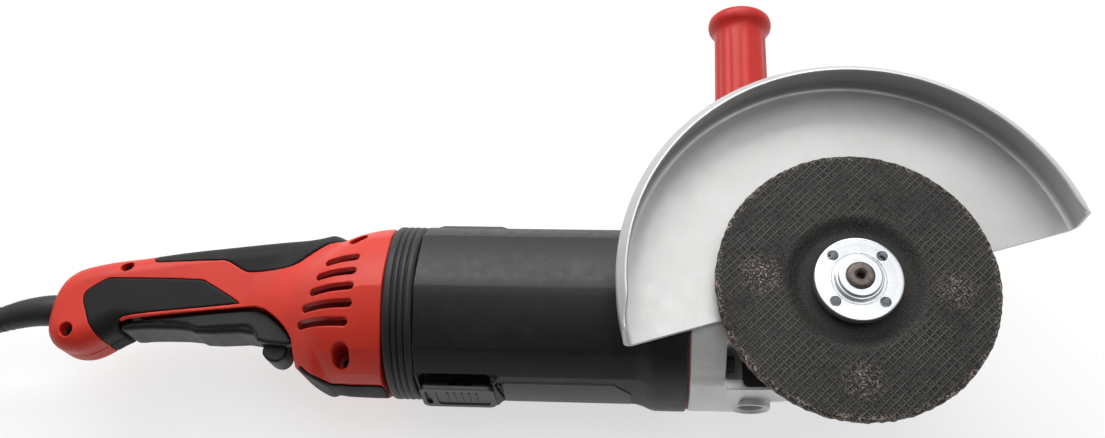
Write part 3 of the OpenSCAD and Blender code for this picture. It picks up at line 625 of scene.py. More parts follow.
# The sleeve's middle line and radius, as (x, y, z, radius)
SLEEVE = [
    (-440, -3, 0, 9), (-450, -3, 0, 9), (-458, -3, 0, 9.2), (-466, -3.6, -0.2, 8.8),
    (-475, -5, -0.8, 8.3), (-484, -7, -2, 7.8), (-493, -9.2, -3.4, 7.4),
    (-503, -11.4, -5.1, 6.9), (-512, -13, -7, 6.4),
]
# The cord's route above the floor, from the sleeve to the coil and from the coil to the plug
CORD_LEAD = [
    (-512, -13, 43), (-518, -14, 41), (-524, -15, 38.2), (-530, -16.1, 34.6), (-536, -17.3, 30.4),
    (-542, -18.6, 26), (-548, -19.9, 21.6), (-554, -21.3, 17.6), (-560, -22.7, 14.1),
    (-566, -24, 11.2), (-573, -25.4, 8.6), (-581, -26.8, 6.8), (-590, -28, 6),
    (-600, -28.7, 5.95), (-611, -29, 5.95), (-622, -29, 5.95),
]
CORD_TAIL = [
    (-684, 33, 34.75), (-684, 42, 34.5), (-684.2, 51, 33.2), (-684.6, 60, 30.7),
    (-685, 68, 27.6), (-685.4, 76, 24.5), (-685.8, 84, 21.8), (-686, 92, 20.2), (-686, 100, 19.6),
]
COIL_CENTRE = (-622, 33)
COIL_PITCH = 9.6
COIL_RADII = tuple(62 - COIL_PITCH * column for column in range(3))
COIL_LAYERS = 4
COIL_STEPS = 40


def coil_points():
    """Turns wound clockwise from below, outwards and inwards by turns, layer upon layer."""
    seats = []
    for layer in range(COIL_LAYERS):
        radii = COIL_RADII if layer % 2 == 0 else COIL_RADII[::-1]
        seats += [(r, CORD_LEAD[-1][2] + COIL_PITCH * layer) for r in radii]
    points = []
    last_turn = len(seats) - 1
    for turn, (radius, height) in enumerate(seats):
        after = seats[min(turn + 1, last_turn)]
        steps = COIL_STEPS if turn < last_turn else COIL_STEPS // 4
        for k in range(steps):
            share = k / COIL_STEPS
            sideways = smoothstep((share - 0.66) / 0.17)
            upwards = smoothstep((share - 0.83) / 0.17)
            r = radius + (after[0] - radius) * sideways
            z = height + (after[1] - height) * upwards
            angle = math.radians(270) - 2 * math.pi * share
            points.append((COIL_CENTRE[0] + r * math.cos(angle), COIL_CENTRE[1] + r * math.sin(angle), z))
    return points[1:]


def add_sleeve():
    """The strain relief: a tapered rubber sleeve with shallow rings towards its thin end."""
    route = smooth_route([p[:3] for p in SLEEVE], 10)
    radii = smooth_route([(p[3], 0, 0) for p in SLEEVE], 10)[:, 0]
    reach = np.linspace(0, 1, len(route))
    ringed = np.clip((reach - 0.55) / 0.1, 0, 1) * np.clip((0.97 - reach) / 0.03, 0, 1)
    radii = radii - 0.35 * ringed * (0.5 + 0.5 * np.cos(reach * 95))
    points, faces = swept(route, radii, 40)
    sleeve = new_piece("strain_relief", points, faces, "cord_rubber", None, "cord_sleeve")
    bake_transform(sleeve)
    return sleeve


def add_cord(others):
    points = list(smooth_route(CORD_LEAD, 3)) + coil_points() + list(smooth_route(CORD_TAIL, 3))
    curve = bpy.data.curves.new("power_cord", "CURVE")
    curve.dimensions = "3D"
    curve.bevel_depth = CORD_R * MM
    curve.bevel_resolution = 5
    curve.use_fill_caps = True
    spline = curve.splines.new("POLY")
    spline.points.add(len(points) - 1)
    for target, p in zip(spline.points, points):
        target.co = (p[0] * MM, p[1] * MM, p[2] * MM, 1)
    cord = new_object("power_cord", curve)
    curve.materials.append(LOOKS["cord_rubber"])
    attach(cord, "head")
    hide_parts("cord_lead", "cord_coil", "cord_tail")


def plug_field(x, y, z):
    """A moulded round plug: ribbed neck, grip ring and a flat face."""
    far = y - PLUG_LOW[1]
    cx, cz = (PLUG_LOW[0] + PLUG_HIGH[0]) / 2, (PLUG_LOW[2] + PLUG_HIGH[2]) / 2
    radius = distance(x - cx, z - cz)
    body = np.interp(far, (0, 1, 14, 24, 36, 41, 44, 57.5), (5.6, 6, 8, 12, 14, 15, 19.2, 19.2))
    ribs = 0.5 * (0.5 + 0.5 * np.cos(far * 2 * math.pi / 3.2)) * np.clip((16 - far) / 3, 0, 1) * (far > 1.5)
    form = both((radius - body + ribs) * 0.86, abs(far - 28.75) - 28.7, 1.0)
    waist = largest(abs(np.mod(far, 3.0) - 1.5) - 0.5, 25 - far, far - 41, 10 - radius)
    grip = largest(waist, radius * 0 + abs(z - cz) - 9)
    form = less(form, largest(grip, body - 0.7 - radius), 0.2)
    pins = distance(abs(x - cx) - 9.5, z - cz) - 2.45
    return largest(form, -largest(pins, 46 - far))


def add_plug():
    return field_piece("mains_plug", plug_field, PLUG_LOW, PLUG_HIGH, (1.2, 0.6), "cord_rubber", "head", "plug")


sleeve = add_sleeve()
nodes = frame["nodes"]
add_cord([sleeve, nodes["coil_tie"], add_plug(), nodes["plug_pins"]])

# ---- rear handle

GRIP_HALF_W = 19.5
SHELL_STEPS = (1.4, 0.75)
# Where the motor's flats meet, about its axis from the spindle's side
CREASES = np.radians((-180, -135, -95, -61, -41, 0, 43, 66, 90, 135, 180))
# Outlines seen along the spindle, as (x, y)
HANDLE_OUTLINE = rounded([
    (-249, 50.2), (-262, 49.5), (-272, 46.5), (-281, 42.8), (-293, 41.4), (-311, 39.6), (-327, 38),
    (-343, 36.2), (-371, 32.6), (-398, 27.8), (-418, 25), (-428, 22.9), (-436, 20.8), (-442, 18),
    (-447.4, 13.2), (-450.6, 7), (-452.4, 0), (-453, -8), (-453, -15), (-451.8, -20.8), (-449, -25.4),
    (-444.6, -29), (-438.5, -30.6), (-431, -30.4), (-424.5, -27.8), (-418.5, -23.9), (-413, -20.2),
    (-408, -18), (-380, -24), (-340, -28), (-316, -30), (-308, -33), (-303, -38), (-296, -42.6),
    (-290, -45.6), (-284, -48), (-273, -50.2), (-262, -50.2), (-249, -50.2),
], 1)
# The bell's radius along x, and how far its middle lies below the motor's axis
BELL = rounded([
    (-352, -20), (-335, 6), (-326, 13), (-317, 20.5), (-309.5, 26.5), (-303, 31.5), (-296, 36.6),
    (-290, 40.6), (-284, 43.6), (-278, 45.6), (-272, 47), (-264, 48.2), (-256, 48.9), (-240, 49.3),
], 2, closed=False)
BELL_DROP = rounded([
    (-335, 0), (-313, 2.9), (-300, 4.8), (-290, 5.2), (-278, 3.5), (-266, 1.7), (-254, 0.8), (-240, 0.5),
], 1, closed=False)
# The trigger's opening in the casing, and the soft pads on the sides and on top
TRIGGER_TOP = rounded([
    (-407.5, -15.7), (-405, -13.5), (-401.5, -12.2), (-338, -4.6), (-325, -4.6), (-314, -12), (-306.5, -19.5),
    (-302, -27), (-301, -60), (-409.5, -60), (-409.5, -18),
], 1)
SIDE_PAD = rounded([
    (-430.5, 2), (-427.5, 5), (-419, 10.8), (-416, 11.4), (-365, 11.6), (-360.5, 10.8), (-338, -2.4),
    (-341, -2.8), (-402, -10.3), (-407.4, -12), (-410.2, -15.4), (-410.4, -22.6), (-414.6, -27.4),
    (-423.4, -18.8), (-427.3, -10), (-430.5, -3),
], 1)
TOP_PAD = rounded([
    (-394.5, 60), (-394.5, 24.6), (-392.5, 22.4), (-388.6, 22.1), (-353, 24.2), (-349, 23.6), (-338, 17),
    (-334, 16.5), (-320, 17.8), (-311, 19), (-304, 21.6), (-297, 27), (-288, 33.6), (-279, 38.9),
    (-274, 48), (-280, 60),
], 1)
# The soft strip at the bell's lower edge, and the air slots above it
STRIP = rounded([
    (-240, -47.1), (-280, -46.8), (-287, -45.3), (-293, -42.9), (-299, -37.6), (-306, -60), (-240, -60),
], 1)
SLOTS = [rounded(slot, 2, closed=False) for slot in (
    ((-283.2, 15.3), (-275.8, 17.1), (-267.8, 17.8)),
    ((-287, 6.2), (-277.6, 7.9), (-267.8, 8.4)),
    ((-289.5, -2.9), (-279.2, -1.5), (-267.9, -1)),
    ((-293.5, -11.5), (-281.2, -10.6), (-268, -10.4)),
    ((-296.3, -19.6), (-282.2, -19.6), (-270.2, -19.9)),
)]
# Each screw hole is a slot from one point to another, with its radius and the height of its floor
SHELL_SCREWS = (((-437.4, -20), (-437.4, -20), 3.9, 11), ((-409.8, 18.6), (-408.2, 19.2), 2.9, 10.5),
                ((-272.5, -36.6), (-272.5, -34.4), 5.0, 12), ((-272.3, 31.6), (-268.7, 34.2), 3.2, 18))


def facet(y, z, share):
    """The radius of a point, pushed out between the creases so that the circle becomes a polygon."""
    radius = distance(y, z)
    angle = np.arctan2(y, z)
    after = np.clip(np.searchsorted(CREASES, angle), 1, len(CREASES) - 1)
    low, high = CREASES[after - 1], CREASES[after]
    flat = np.cos(angle - (low + high) / 2) / np.cos((high - low) / 2)
    return radius * (1 + share * (flat - 1))


def handle_form(x, y, z):
    side = outline_field(x, y, HANDLE_OUTLINE)
    waist = GRIP_HALF_W - 0.9 * np.exp(-(((x + 352) / 26) ** 2))
    within = smoothstep((x + 291) / 19)
    grip = both(side, abs(z) - waist, 12.5) + 16 * within
    middle = y + np.interp(x, BELL_DROP[:, 0], BELL_DROP[:, 1])
    round_part = facet(middle, z, 0.35 * smoothstep((x + 292) / 24)) - np.interp(x, BELL[:, 0], BELL[:, 1])
    form = joined(grip, both(round_part * 0.86, side, 1.5), 14 - 9 * within)
    form = both(form, side, 0.5)
    return both(form, x - MOUTH_X, 1.2)


def pads_field(x, y, z, grow):
    side = both(outline_field(x, y, SIDE_PAD) - grow, 1.5 - abs(z), 0.1)
    top = outline_field(x, y, TOP_PAD) - grow
    return smallest(side, top, outline_field(x, y, STRIP) - grow)


def shell_field(half):
    """Half of the handle casing: half is 1 for the half with z > 0, and -1 for the other."""

    def field(x, y, z):
        whole = handle_form(x, y, z)
        form = both(whole, -half * z + 0.06, 0.5)
        pocket = largest(pads_field(x, y, z, 0.3), -whole - 2.0)
        form = less(form, pocket, 0.35)
        hollow = both(whole + 5.2, x + 256.5, 0.5)
        trigger = outline_field(x, y, TRIGGER_TOP)
        room = largest(trigger - 9.5, abs(z) - 16.4, np.where(x > -308, whole + 3.0, -1.0))
        screw_at = [path_field(x, y, (a, b)) - r for a, b, r, _ in SHELL_SCREWS]
        hollow = largest(hollow, 2.4 - smallest(*screw_at))
        form = largest(form, -hollow)
        form = less(form, trigger, 0.4)
        form = largest(form, -room)
        slots = smallest(*[path_field(x, y, s) - 2.2 for s in SLOTS])
        form = less(form, largest(slots, 18 - abs(z)), 0.6)
        if half > 0:
            depths = [largest(d, s[3] - z) for d, s in zip(screw_at, SHELL_SCREWS)]
            form = less(form, smallest(*depths), 0.6)
        exit_hole = distance(y + 3, z) - 9.6
        return less(form, largest(exit_hole, x + 436), 1.0)

    return field


def add_casing_screws():
    """Four pan-head screws with a round-cornered six-sided socket, deep in their holes."""
    points, faces = [], []
    for start, end, _, floor in SHELL_SCREWS:
        rows = [(0, -18), (1.5, -17.5), (1.6, floor), (2.8, floor), (2.8, floor + 1.8), (2.4, floor + 2.5),
                (1.5, floor + 2.7), (1.35, floor + 2.5), (1.3, floor + 1.1), (0, floor + 1)]

        def socket(radius, height, angle, floor=floor):
            return 0.16 * np.cos(6 * angle) * (height > floor + 0.5) * (radius < 1.45) * (radius > 1)

        ring, quads = lathe(rows, 36, socket)
        middle = np.array([(start[0] + end[0]) / 2, (start[1] + end[1]) / 2, 0])
        faces += (quads + len(points)).tolist()
        points += (ring + middle).tolist()
    new_piece("casing_screws", points, faces, "black_metal", "rear_handle", "handle_screw_set", sharp=35)


def add_handle():
    low, high = np.array([-459, -51, -51]), np.array([-249, 51, 51])
    for half, name, node in ((1, "near_shell", "handle_shell_near"), (-1, "far_shell", "handle_shell_far")):
        a, b = low.copy(), high.copy()
        a[2], b[2] = (0, 51) if half > 0 else (-51, 0)
        field_piece(name, shell_field(half), a, b, SHELL_STEPS, "handle_red", "rear_handle", node)
    pads = (
        ("near_grip", SIDE_PAD, 1, "soft_grip_near", (-434, -38, 0), (-336, 13, 20.5)),
        ("far_grip", SIDE_PAD, -1, "soft_grip_far", (-434, -38, -20.5), (-336, 13, 0)),
        ("top_grip", TOP_PAD, 0, "soft_grip_top", (-398, 15, -21), (-270, 51, 21)),
        ("bell_strip", STRIP, 0, "soft_strip", (-300, -51, -33), (-249, -35, 27)),
    )
    add_casing_screws()
    for name, line, half, node, a, b in pads:

        def field(x, y, z, line=line, half=half):
            form = handle_form(x, y, z)
            pad = both(form - 0.12, outline_field(x, y, line), 0.9)
            pad = largest(pad, -form - 2.4)
            if half:
                pad = both(pad, -half * z + 0.06, 0.5)
                pad = less(pad, outline_field(x, y, TRIGGER_TOP) - 0.5, 0.4)
            return pad

        field_piece(name, field, a, b, SHELL_STEPS, "soft_black", "rear_handle", node)


TRIGGER_BODY = rounded([
    (-408.2, -17.6), (-407.6, -15.2), (-404.9, -13.4), (-401.4, -12.8), (-338, -5.2), (-325.2, -5.2), (-314.6, -12.6),
    (-307.2, -20), (-303.6, -26), (-326, -24.4), (-331, -17.8), (-362, -19.8), (-369.5, -17),
    (-396, -17.2), (-405.4, -18.4),
], 1)
TRIGGER_SKIRT = rounded([
    (-403.4, -13.8), (-401.4, -12.8), (-338, -5.2), (-325.2, -5.2), (-314.6, -12.6), (-307.2, -20), (-303.6, -26),
    (-326, -24.4), (-327.5, -20.4), (-331.5, -15.6), (-336, -15.2), (-361, -17.4), (-364.5, -16.8),
    (-370, -14.4), (-397.4, -12.9),
], 1)
LEVER = rounded([
    (-325.4, -19), (-325.6, -25), (-324.6, -29), (-321.6, -32.4), (-317.4, -34), (-313.6, -33.4),
    (-310.6, -30), (-310.2, -24), (-311, -17), (-318, -14),
], 2)


def add_trigger():
    def trigger_field(x, y, z):
        lower = both(outline_field(x, y, TRIGGER_BODY), abs(z) - 14.4, 3.2)
        upper = both(outline_field(x, y, TRIGGER_SKIRT), abs(z) - 15.9, 2.2)
        form = smallest(lower, upper)
        pocket = box_field(x, y, z, (-328, -40, -9.6), (-303, -13, 9.6), 0.5)
        return less(form, pocket, 0.4)

    def lever_field(x, y, z):
        form = both(outline_field(x, y, LEVER), abs(z) - 9.0, 1.8)
        scoop = distance(x + 333.5, y + 25) - 9.2
        return less(form, scoop, 0.8)

    field_piece("trigger_paddle", trigger_field, (-410, -27, -18), (-302, -4, 18), (1.2, 0.6), "trigger_black",
                "trigger", "trigger")
    field_piece("lock_off_catch", lever_field, (-327, -35, -10), (-309, -13, 10), (1.2, 0.6), "trigger_black",
                "lock_off_lever", "lock_off_lever")


add_handle()
add_trigger()

# ---- motor

MOTOR_R = 49.5
FRONT_R = MOTOR_HIGH[1]
LABEL_FRONT_X = -115
LABEL_REAR_X = -185
SCOOP_TURN = math.radians(67)
BRUSH_TURN = math.radians(10)
SCREW_AT = (35, 29)  # how far the head's screws lie from the motor axis, in y and z


def motor_radius(x, y, z):
    """How far a point lies outside the motor's faceted skin, which flares to a round front."""
    flare = smoothstep((x + 114) / 13)
    reach = MOTOR_R + (FRONT_R - MOTOR_R) * flare
    return facet(y, z, 0.5 * (1 - flare)) - reach


def to_brush(y, z):
    """Distance out along the brushes' axis, and across it: the brushes lie turned about the motor."""
    c, s = math.cos(BRUSH_TURN), math.sin(BRUSH_TURN)
    return y * c - z * s, y * s + z * c


def motor_field(x, y, z):
    out, across = to_brush(y, z)
    radius = distance(y, z)
    skin = both(motor_radius(x, y, z), abs(z) - MOTOR_HIGH[2], 1.0)
    skin = both(skin, largest(x + 84.9, -x - 232.9), 1.0)
    pad = both(abs(out) - 50.4, abs(across) - 15.5, 2.0)
    pad = both(largest(pad, 36 - abs(out)), abs(x + 209.4) - 22.6 + 0.35 * (abs(out) - 46), 2.0)
    skin = joined(skin, pad, 2.0)
    side = -y * math.cos(SCOOP_TURN) - z * math.sin(SCOOP_TURN)
    outward = -y * math.sin(SCOOP_TURN) + z * math.cos(SCOOP_TURN)
    scoop = box_field(x, side, outward, (-230, -5.6, 47.0), (-191, 5.6, 60), 2.6)
    skin = less(skin, scoop, 1.4)
    groove = largest(abs(x + 184.6 + 0.18 * z) - 1.0, abs(z - 3) - 17, y + 44, 47.2 - radius)
    skin = less(skin, groove, 0.5)
    spigot = both(radius - 42.9, largest(x + 231, -x - 245), 0.6)
    form = smallest(skin, spigot)
    bore = largest(radius - 44.6, -x - 230)
    rear = largest(radius - 34, x + 200)
    form = largest(form, -bore, -rear)
    hub = largest(radius - 14, abs(x + 234) - 4)
    spoke = smallest(abs(y - z), abs(y + z)) * 0.7071 - 3
    ribs = largest(spoke, radius - 35, abs(x + 235) - 3)
    form = largest(smallest(form, hub, ribs), 11 - radius)
    screw = distance(abs(y) - SCREW_AT[0], abs(z) - SCREW_AT[1])
    column = largest(screw - 5.5, abs(x + 92.8) - 7.9)
    form = largest(smallest(form, column), -largest(screw - 2.6, -x - 103))
    brush = largest(distance(x + 209, across) - 8, 30 - abs(out))
    return largest(form, -brush)


def cover_field(side):
    """A brush cover: a plate with soft corners, a finger slot and a raised rim."""

    def field(x, y, z):
        out, z = to_brush(y, z)
        out = side * out
        plate = box_field(x, out, z, (-230.6, 50.5, -11.8), (-189.2, 53, 11.8), 0.0)
        corner = both(abs(x + 209.9) - 20.7, abs(z) - 11.8, 4.5)
        plate = both(plate, corner, 0.7)
        dish = largest(both(abs(x + 207) - 14.6, abs(z) - 8.2, 2.5), 52.3 - out)
        slot = largest(both(abs(x + 226.2) - 1.5, abs(z) - 7.5, 1.4), 51.4 - out)
        plate = less(less(plate, dish, 0.35), slot, 0.4)
        ribs = smallest(*[abs(x + c) - 0.55 for c in (199.5, 203.5, 207.5, 211.5, 215.5)])
        raised = both(largest(abs(z) - 5.2, out - 52.75, 51 - out), ribs, 0.3)
        return smallest(plate, raised)

    return field


def label_field(x, y, z):
    """A thin plate bent over the facets, with one corner cut off."""
    skin = facet(y, z, 0.5)
    band = largest(skin - MOTOR_R - 0.5, MOTOR_R - 0.6 - skin, y)
    edge = both(largest(x - LABEL_FRONT_X, LABEL_REAR_X - x), largest(z - 18.8, -3.4 - z), 1.5)
    cut = (x - LABEL_FRONT_X + 7) * 0.7071 + (z - 18.8 + 2) * 0.7071
    return both(band, largest(edge, cut), 0.25)


def turned_x(profile, turns):
    """A closed profile of (radius, x) turned about the motor axis."""
    points, quads = lathe(profile, turns)
    return np.stack([points[:, 2], points[:, 1], -points[:, 0]], 1), quads


def add_motor():
    field_piece("motor_case", motor_field, (-246, -52, -50), (-84, 52, 50), (1.6, 1.3), "housing_black", "head",
                "motor_housing")
    fine = (0.8, 0.4)
    for side, name, node in ((-1, "near_brush_cover", "brush_cover_left"), (1, "far_brush_cover", "brush_cover_right")):
        low, high = (-231, 47, -22), (-188, 55.5, 5)
        if side < 0:
            low, high = (low[0], -high[1], -high[2]), (high[0], -low[1], -low[2])
        field_piece(name, cover_field(side), low, high, fine, "label_black", "head", node)
    field_piece("side_label", label_field, (-186, -51, -4), (-114, -40, 20), fine, "label_black", "head",
                "label_plate")
    profile = [(43.05, -248.9), (43.05, -233.1), (49.1, -233.1)]
    for groove in (-237.4, -241, -244.3):
        profile += [(49.5, groove + 1.5), (49.35, groove + 0.75), (48.1, groove + 0.4), (48.0, groove),
                    (48.1, groove - 0.4), (49.35, groove - 0.75), (49.5, groove - 1.2)]
    profile += [(49.5, -248), (48.9, -248.9)]
    points, quads = turned_x(profile, 144)
    new_piece("swivel_damper", points, quads, "ring_black", "head", "damping_ring")


# ---- gear head

HEAD_STEP_X = -56
NOSE_X = 5
BUTTON_X = 15.5
SIDE_X = -50.0  # the side handle's axis
NOSE_R = 43
HEAD_HALF_W = 48.6
CREASE = math.radians(52)
HEAD_TAPER = math.radians(20)
COLLAR_R = 51.9
PLATE_SCREWS = 77.0  # the circle of the bearing plate's four screws, across


def head_plan(x, y, margin):
    """Signed distance to the outline of the gear head's front part, seen along the spindle."""
    wide = np.interp(x, (HEAD_STEP_X, -34, NOSE_X), (HEAD_HALF_W, HEAD_HALF_W - 0.6, NOSE_R))
    flank = np.where(x < NOSE_X, abs(y) - wide, -9)
    nose = distance(x - NOSE_X, y) - NOSE_R
    return np.where(x < NOSE_X, flank, nose) + margin


def head_field(x, y, z):
    radius = distance(y, z)
    plan = head_plan(x, y, 0)
    knee = -22 * smoothstep((x + 25) / 30)
    front = both(largest(plan, HEAD_STEP_X - 8 - x), abs(z + 11) - 39, 1.0)
    front = both(front, plan * math.cos(HEAD_TAPER) - (z - knee) * math.sin(HEAD_TAPER), 3.0)
    collar = both(radius - COLLAR_R, largest(abs(y) - COLLAR_R, z - 48.9, -49.9 - z), 1.5)
    crease = abs(y) * math.sin(CREASE) + abs(z) * math.cos(CREASE) - COLLAR_R * math.cos(math.radians(7))
    collar = both(collar, crease, 0.3)
    collar = both(collar, abs(x + 70) - 14, 1.6)
    form = largest(joined(front, collar, 2.0), -50.0 - z)
    boss = distance(x - SIDE_X, z)
    stub = both(boss - 10.9, largest(abs(y) - 52.0, 36 - abs(y)), 0.8)
    form = joined(form, stub, 0.6)
    dish = both(boss - 8.4, np.where(y < 0, 51.1, 60) - abs(y), 0.2)
    form = less(form, dish, 0.4)
    spindle = distance(x, y)
    form = largest(form, -largest(spindle - 34, -28 - z))
    recess = largest(both(head_plan(x, y, 1.7), HEAD_STEP_X + 0.3 - x, 3.0), 20 - z)
    form = less(form, recess, 0.5)
    form = largest(form, -largest(radius - 17, x + 25), -largest(radius - 44, 20 - radius, x + 76))
    form = largest(form, -largest(spindle - 10, z + 20, -z - 40))
    button = distance(x - BUTTON_X, y)
    form = less(form, largest(button - 11, z + 40), 0.8)
    form = largest(form, -largest(button - 3.1, z + 25))
    form = less(form, largest(boss - np.where(y < 0, 7.05, 7.6), 26 - abs(y)), 0.8)
    across, high = abs(y), abs(z)
    pocket = both(largest(abs(across - SCREW_AT[0]) - 7.9, 20.2 - high), -65 - x, 1.5)
    pocket = largest(pocket, x - HEAD_STEP_X)
    form = less(form, pocket, 0.9)
    screw = distance(across - SCREW_AT[0], high - SCREW_AT[1])
    return largest(form, 2.6 - screw, -largest(four_holes(x, y, PLATE_SCREWS) - 2, 8 - z))


def plate_field(x, y, z):
    """The black bearing plate with its neck, four seats for screws and a thin rim."""
    plan = both(head_plan(x, y, 2.0), HEAD_STEP_X + 0.4 - x, 2.8)
    plate = both(plan, abs(z - 23) - 2.9, 0.5)
    spindle = distance(x, y)
    neck = both(spindle - 29.9, largest(z - 43.9, 21 - z), 0.8)
    form = joined(plate, neck, 1.6)
    form = largest(form, -largest(spindle - 20, z - 32), 14 - spindle)
    hole = four_holes(x, y, PLATE_SCREWS)
    form = less(form, largest(hole - 4.3, 23.2 - z), 0.3)
    return largest(form, 2.2 - hole)


def add_head():
    field_piece("gear_case", head_field, (-84.5, -52.2, -50.2), (48.2, 52.2, 49.2), (1.5, 1.15), "cast_aluminium",
                "head", "gear_head")
    field_piece("bearing_cap", plate_field, (-56, -47, 20), (47, 47, 44), (1.2, 0.8), "black_metal", "head",
                "bearing_plate")


# ---- guard

GUARD_TURN = math.radians(17)
GUARD_WALL_R = GUARD_HIGH[1]
GUARD_T = 2.0
GUARD_LOW_Z = GUARD_LOW[2]
GUARD_WALL_TOP = 71.5
GUARD_EDGE = 2.2
GUARD_LEAN = math.tan(math.radians(8))
HUB_R = 33.0
BULGE_R = 44.0


def guard_profile():
    """The sheet from its inner edge over the top side and back below, as (r, z, lip) rows."""
    low, top, wall, t = GUARD_LOW_Z, GUARD_WALL_TOP, GUARD_WALL_R, GUARD_T
    rows = [(r, low + t, 0) for r in (HUB_R, 60, 85, 105, 114, 117.6)]
    for a in np.linspace(0, 90, 6)[1:]:
        rows.append((117.6 + 3.8 * math.sin(math.radians(a)), low + t + 3.8 * (1 - math.cos(math.radians(a))), 0))
    rows += [(wall - t, 64, 0), (wall - t, top - 2.2, 0), (wall - t - 0.2, top - 1, 0.03), (wall - t - 1, top, 0.2)]
    rows += [(117.3, top + 3.4, 0.9), (117.2, top + 4.2, 1), (117.7, top + 4.9, 1), (118.6, top + 4.8, 0.95)]
    rows += [(wall - 1.0, top + 0.6, 0.12), (wall - 0.2, top - 0.4, 0), (wall, top - 1.4, 0), (wall, 64, 0)]
    for a in np.linspace(90, 0, 7):
        rows.append((117.6 + 5.8 * math.sin(math.radians(a)), low + 5.8 * (1 - math.cos(math.radians(a))), 0))
    rows += [(r, low, 0) for r in (114, 105, 85, 60, HUB_R)]
    return np.array(rows)


def add_guard():
    rows = guard_profile()
    turns = 121
    share = np.linspace(0, 1, turns)[:, None]
    r, z = rows[:, 0][None, :], rows[:, 1][None, :]
    start = np.arcsin((0.2 + (z - GUARD_LOW_Z) * 0.02) / r)
    end = math.pi - np.arcsin((GUARD_EDGE + (z - GUARD_LOW_Z) * GUARD_LEAN) / r)
    theta = start + (end - start) * share
    left = smoothstep((1 - share) / 0.05)
    right = smoothstep(share / 0.012)
    lip = rows[:, 2][None, :] * (1 - left * (0.55 + 0.45 * right))
    r = r + 3.6 * lip
    z = z - 3.9 * lip
    angle = theta + GUARD_TURN
    points = np.stack([r * np.cos(angle), r * np.sin(angle), z + 0 * angle], 2).reshape(-1, 3)
    n = len(rows)
    faces = quads_between(turns, n)[:, ::-1].tolist()
    last = (turns - 1) * n
    for k in range(n // 2):
        a, b = k, n - 1 - k
        if b - a > 1:
            cap = list(dict.fromkeys([a, b, b - 1, a + 1]))
            faces += [cap, [last + v for v in cap[::-1]]]
    start = len(points)
    bulge = []
    arc = np.linspace(math.pi - 0.065, 2 * math.pi + 0.012, 61) + GUARD_TURN
    ring = filleted([(HUB_R, GUARD_LOW_Z), (BULGE_R, GUARD_LOW_Z), (BULGE_R, GUARD_LOW_Z + GUARD_T),
                     (HUB_R, GUARD_LOW_Z + GUARD_T)], (0, 0.5, 0.5, 0), 4)
    for a in arc:
        bulge += [(far * math.cos(a), far * math.sin(a), high) for far, high in ring]
    faces += (quads_between(len(arc), len(ring)) + start).tolist()
    end = start + len(bulge)
    faces += [range(start, start + len(ring)), range(end - 1, end - len(ring) - 1, -1)]
    points = np.concatenate([points, bulge])
    new_piece("disc_guard", points, faces, "guard_steel", "guard", "guard", sharp=40)


# ---- spindle group

DISC_FACE = 63.5
DISC_T = 6.0
DISC_DROP = 4.5
NUT_FACE = 68.0
NUT_R = 22.5
NUT_PCD = 35.0
NUT_HOLE_R = 2.7
BASE_R = 12.2
BOSS_R = 11.0
SPINDLE_R = 7.0
THREAD_PITCH = 2.0
BUTTON_SPRING = (-45.8, -40.2)  # where the spring starts and ends, at rest


def add_disc():
    """A fibre-backed wheel with a dished middle, pressed mesh and a ragged rim."""
    rng = np.random.default_rng(7)
    turns, rings = ((480, 100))
    rows = [(11.1, DISC_FACE - DISC_DROP - DISC_T), (31, DISC_FACE - DISC_DROP - DISC_T),
            (36, DISC_FACE - DISC_T), (55, DISC_FACE - DISC_T), (DISC_R - 1.2, DISC_FACE - DISC_T),
            (DISC_R - 0.5, DISC_FACE - DISC_T + 0.8), (DISC_R - 0.5, DISC_FACE - 3), (DISC_R - 0.6, DISC_FACE - 1.0)]
    face_r = np.linspace(DISC_R - 1.0, 11.1, rings)
    hollow = DISC_DROP * smoothstep((37.5 - face_r) / 9.5)
    rows += [(r, DISC_FACE - 0.25 - d) for r, d in zip(face_r, hollow)]
    rows = np.array(rows)
    first = len(rows) - len(face_r)
    coarse = rng.normal(0, 1, (turns,))
    fine = rng.normal(0, 1, (turns, len(rows)))
    ragged = 0.18 * np.roll(coarse, 1) + 0.25 * coarse + 0.18 * np.roll(coarse, -1)

    def wave(radius, height, angle):
        near_rim = np.clip((radius - DISC_R + 1.6) / 0.8, 0, 1)
        return near_rim * np.clip(0.5 * ragged[:, None] - 0.1, -0.6, 0.3)

    points, quads = lathe(rows, turns, wave)
    grid = points.reshape(turns, len(rows), 3)
    x, y = grid[:, :, 0], grid[:, :, 1]
    along = (x - y) * 0.7071 / WEAVE
    over = (x + y) * 0.7071 / WEAVE
    mesh = 0.5 * np.cos(2 * math.pi * along) + 0.3 * np.cos(2 * math.pi * over)
    radius = distance(x, y)
    shown = smoothstep((radius - 36) / 6)
    height = 0.17 * mesh * shown + 0.05 * fine * smoothstep((radius - 24) / 5)
    on_face = (np.arange(len(rows)) >= first)[None, :]
    grid[:, :, 2] += np.where(on_face, np.clip(height, -0.5, 0.24), 0)
    new_piece("grinding_wheel", grid.reshape(-1, 3), quads, "abrasive", "spindle_set", "grinding_disc")


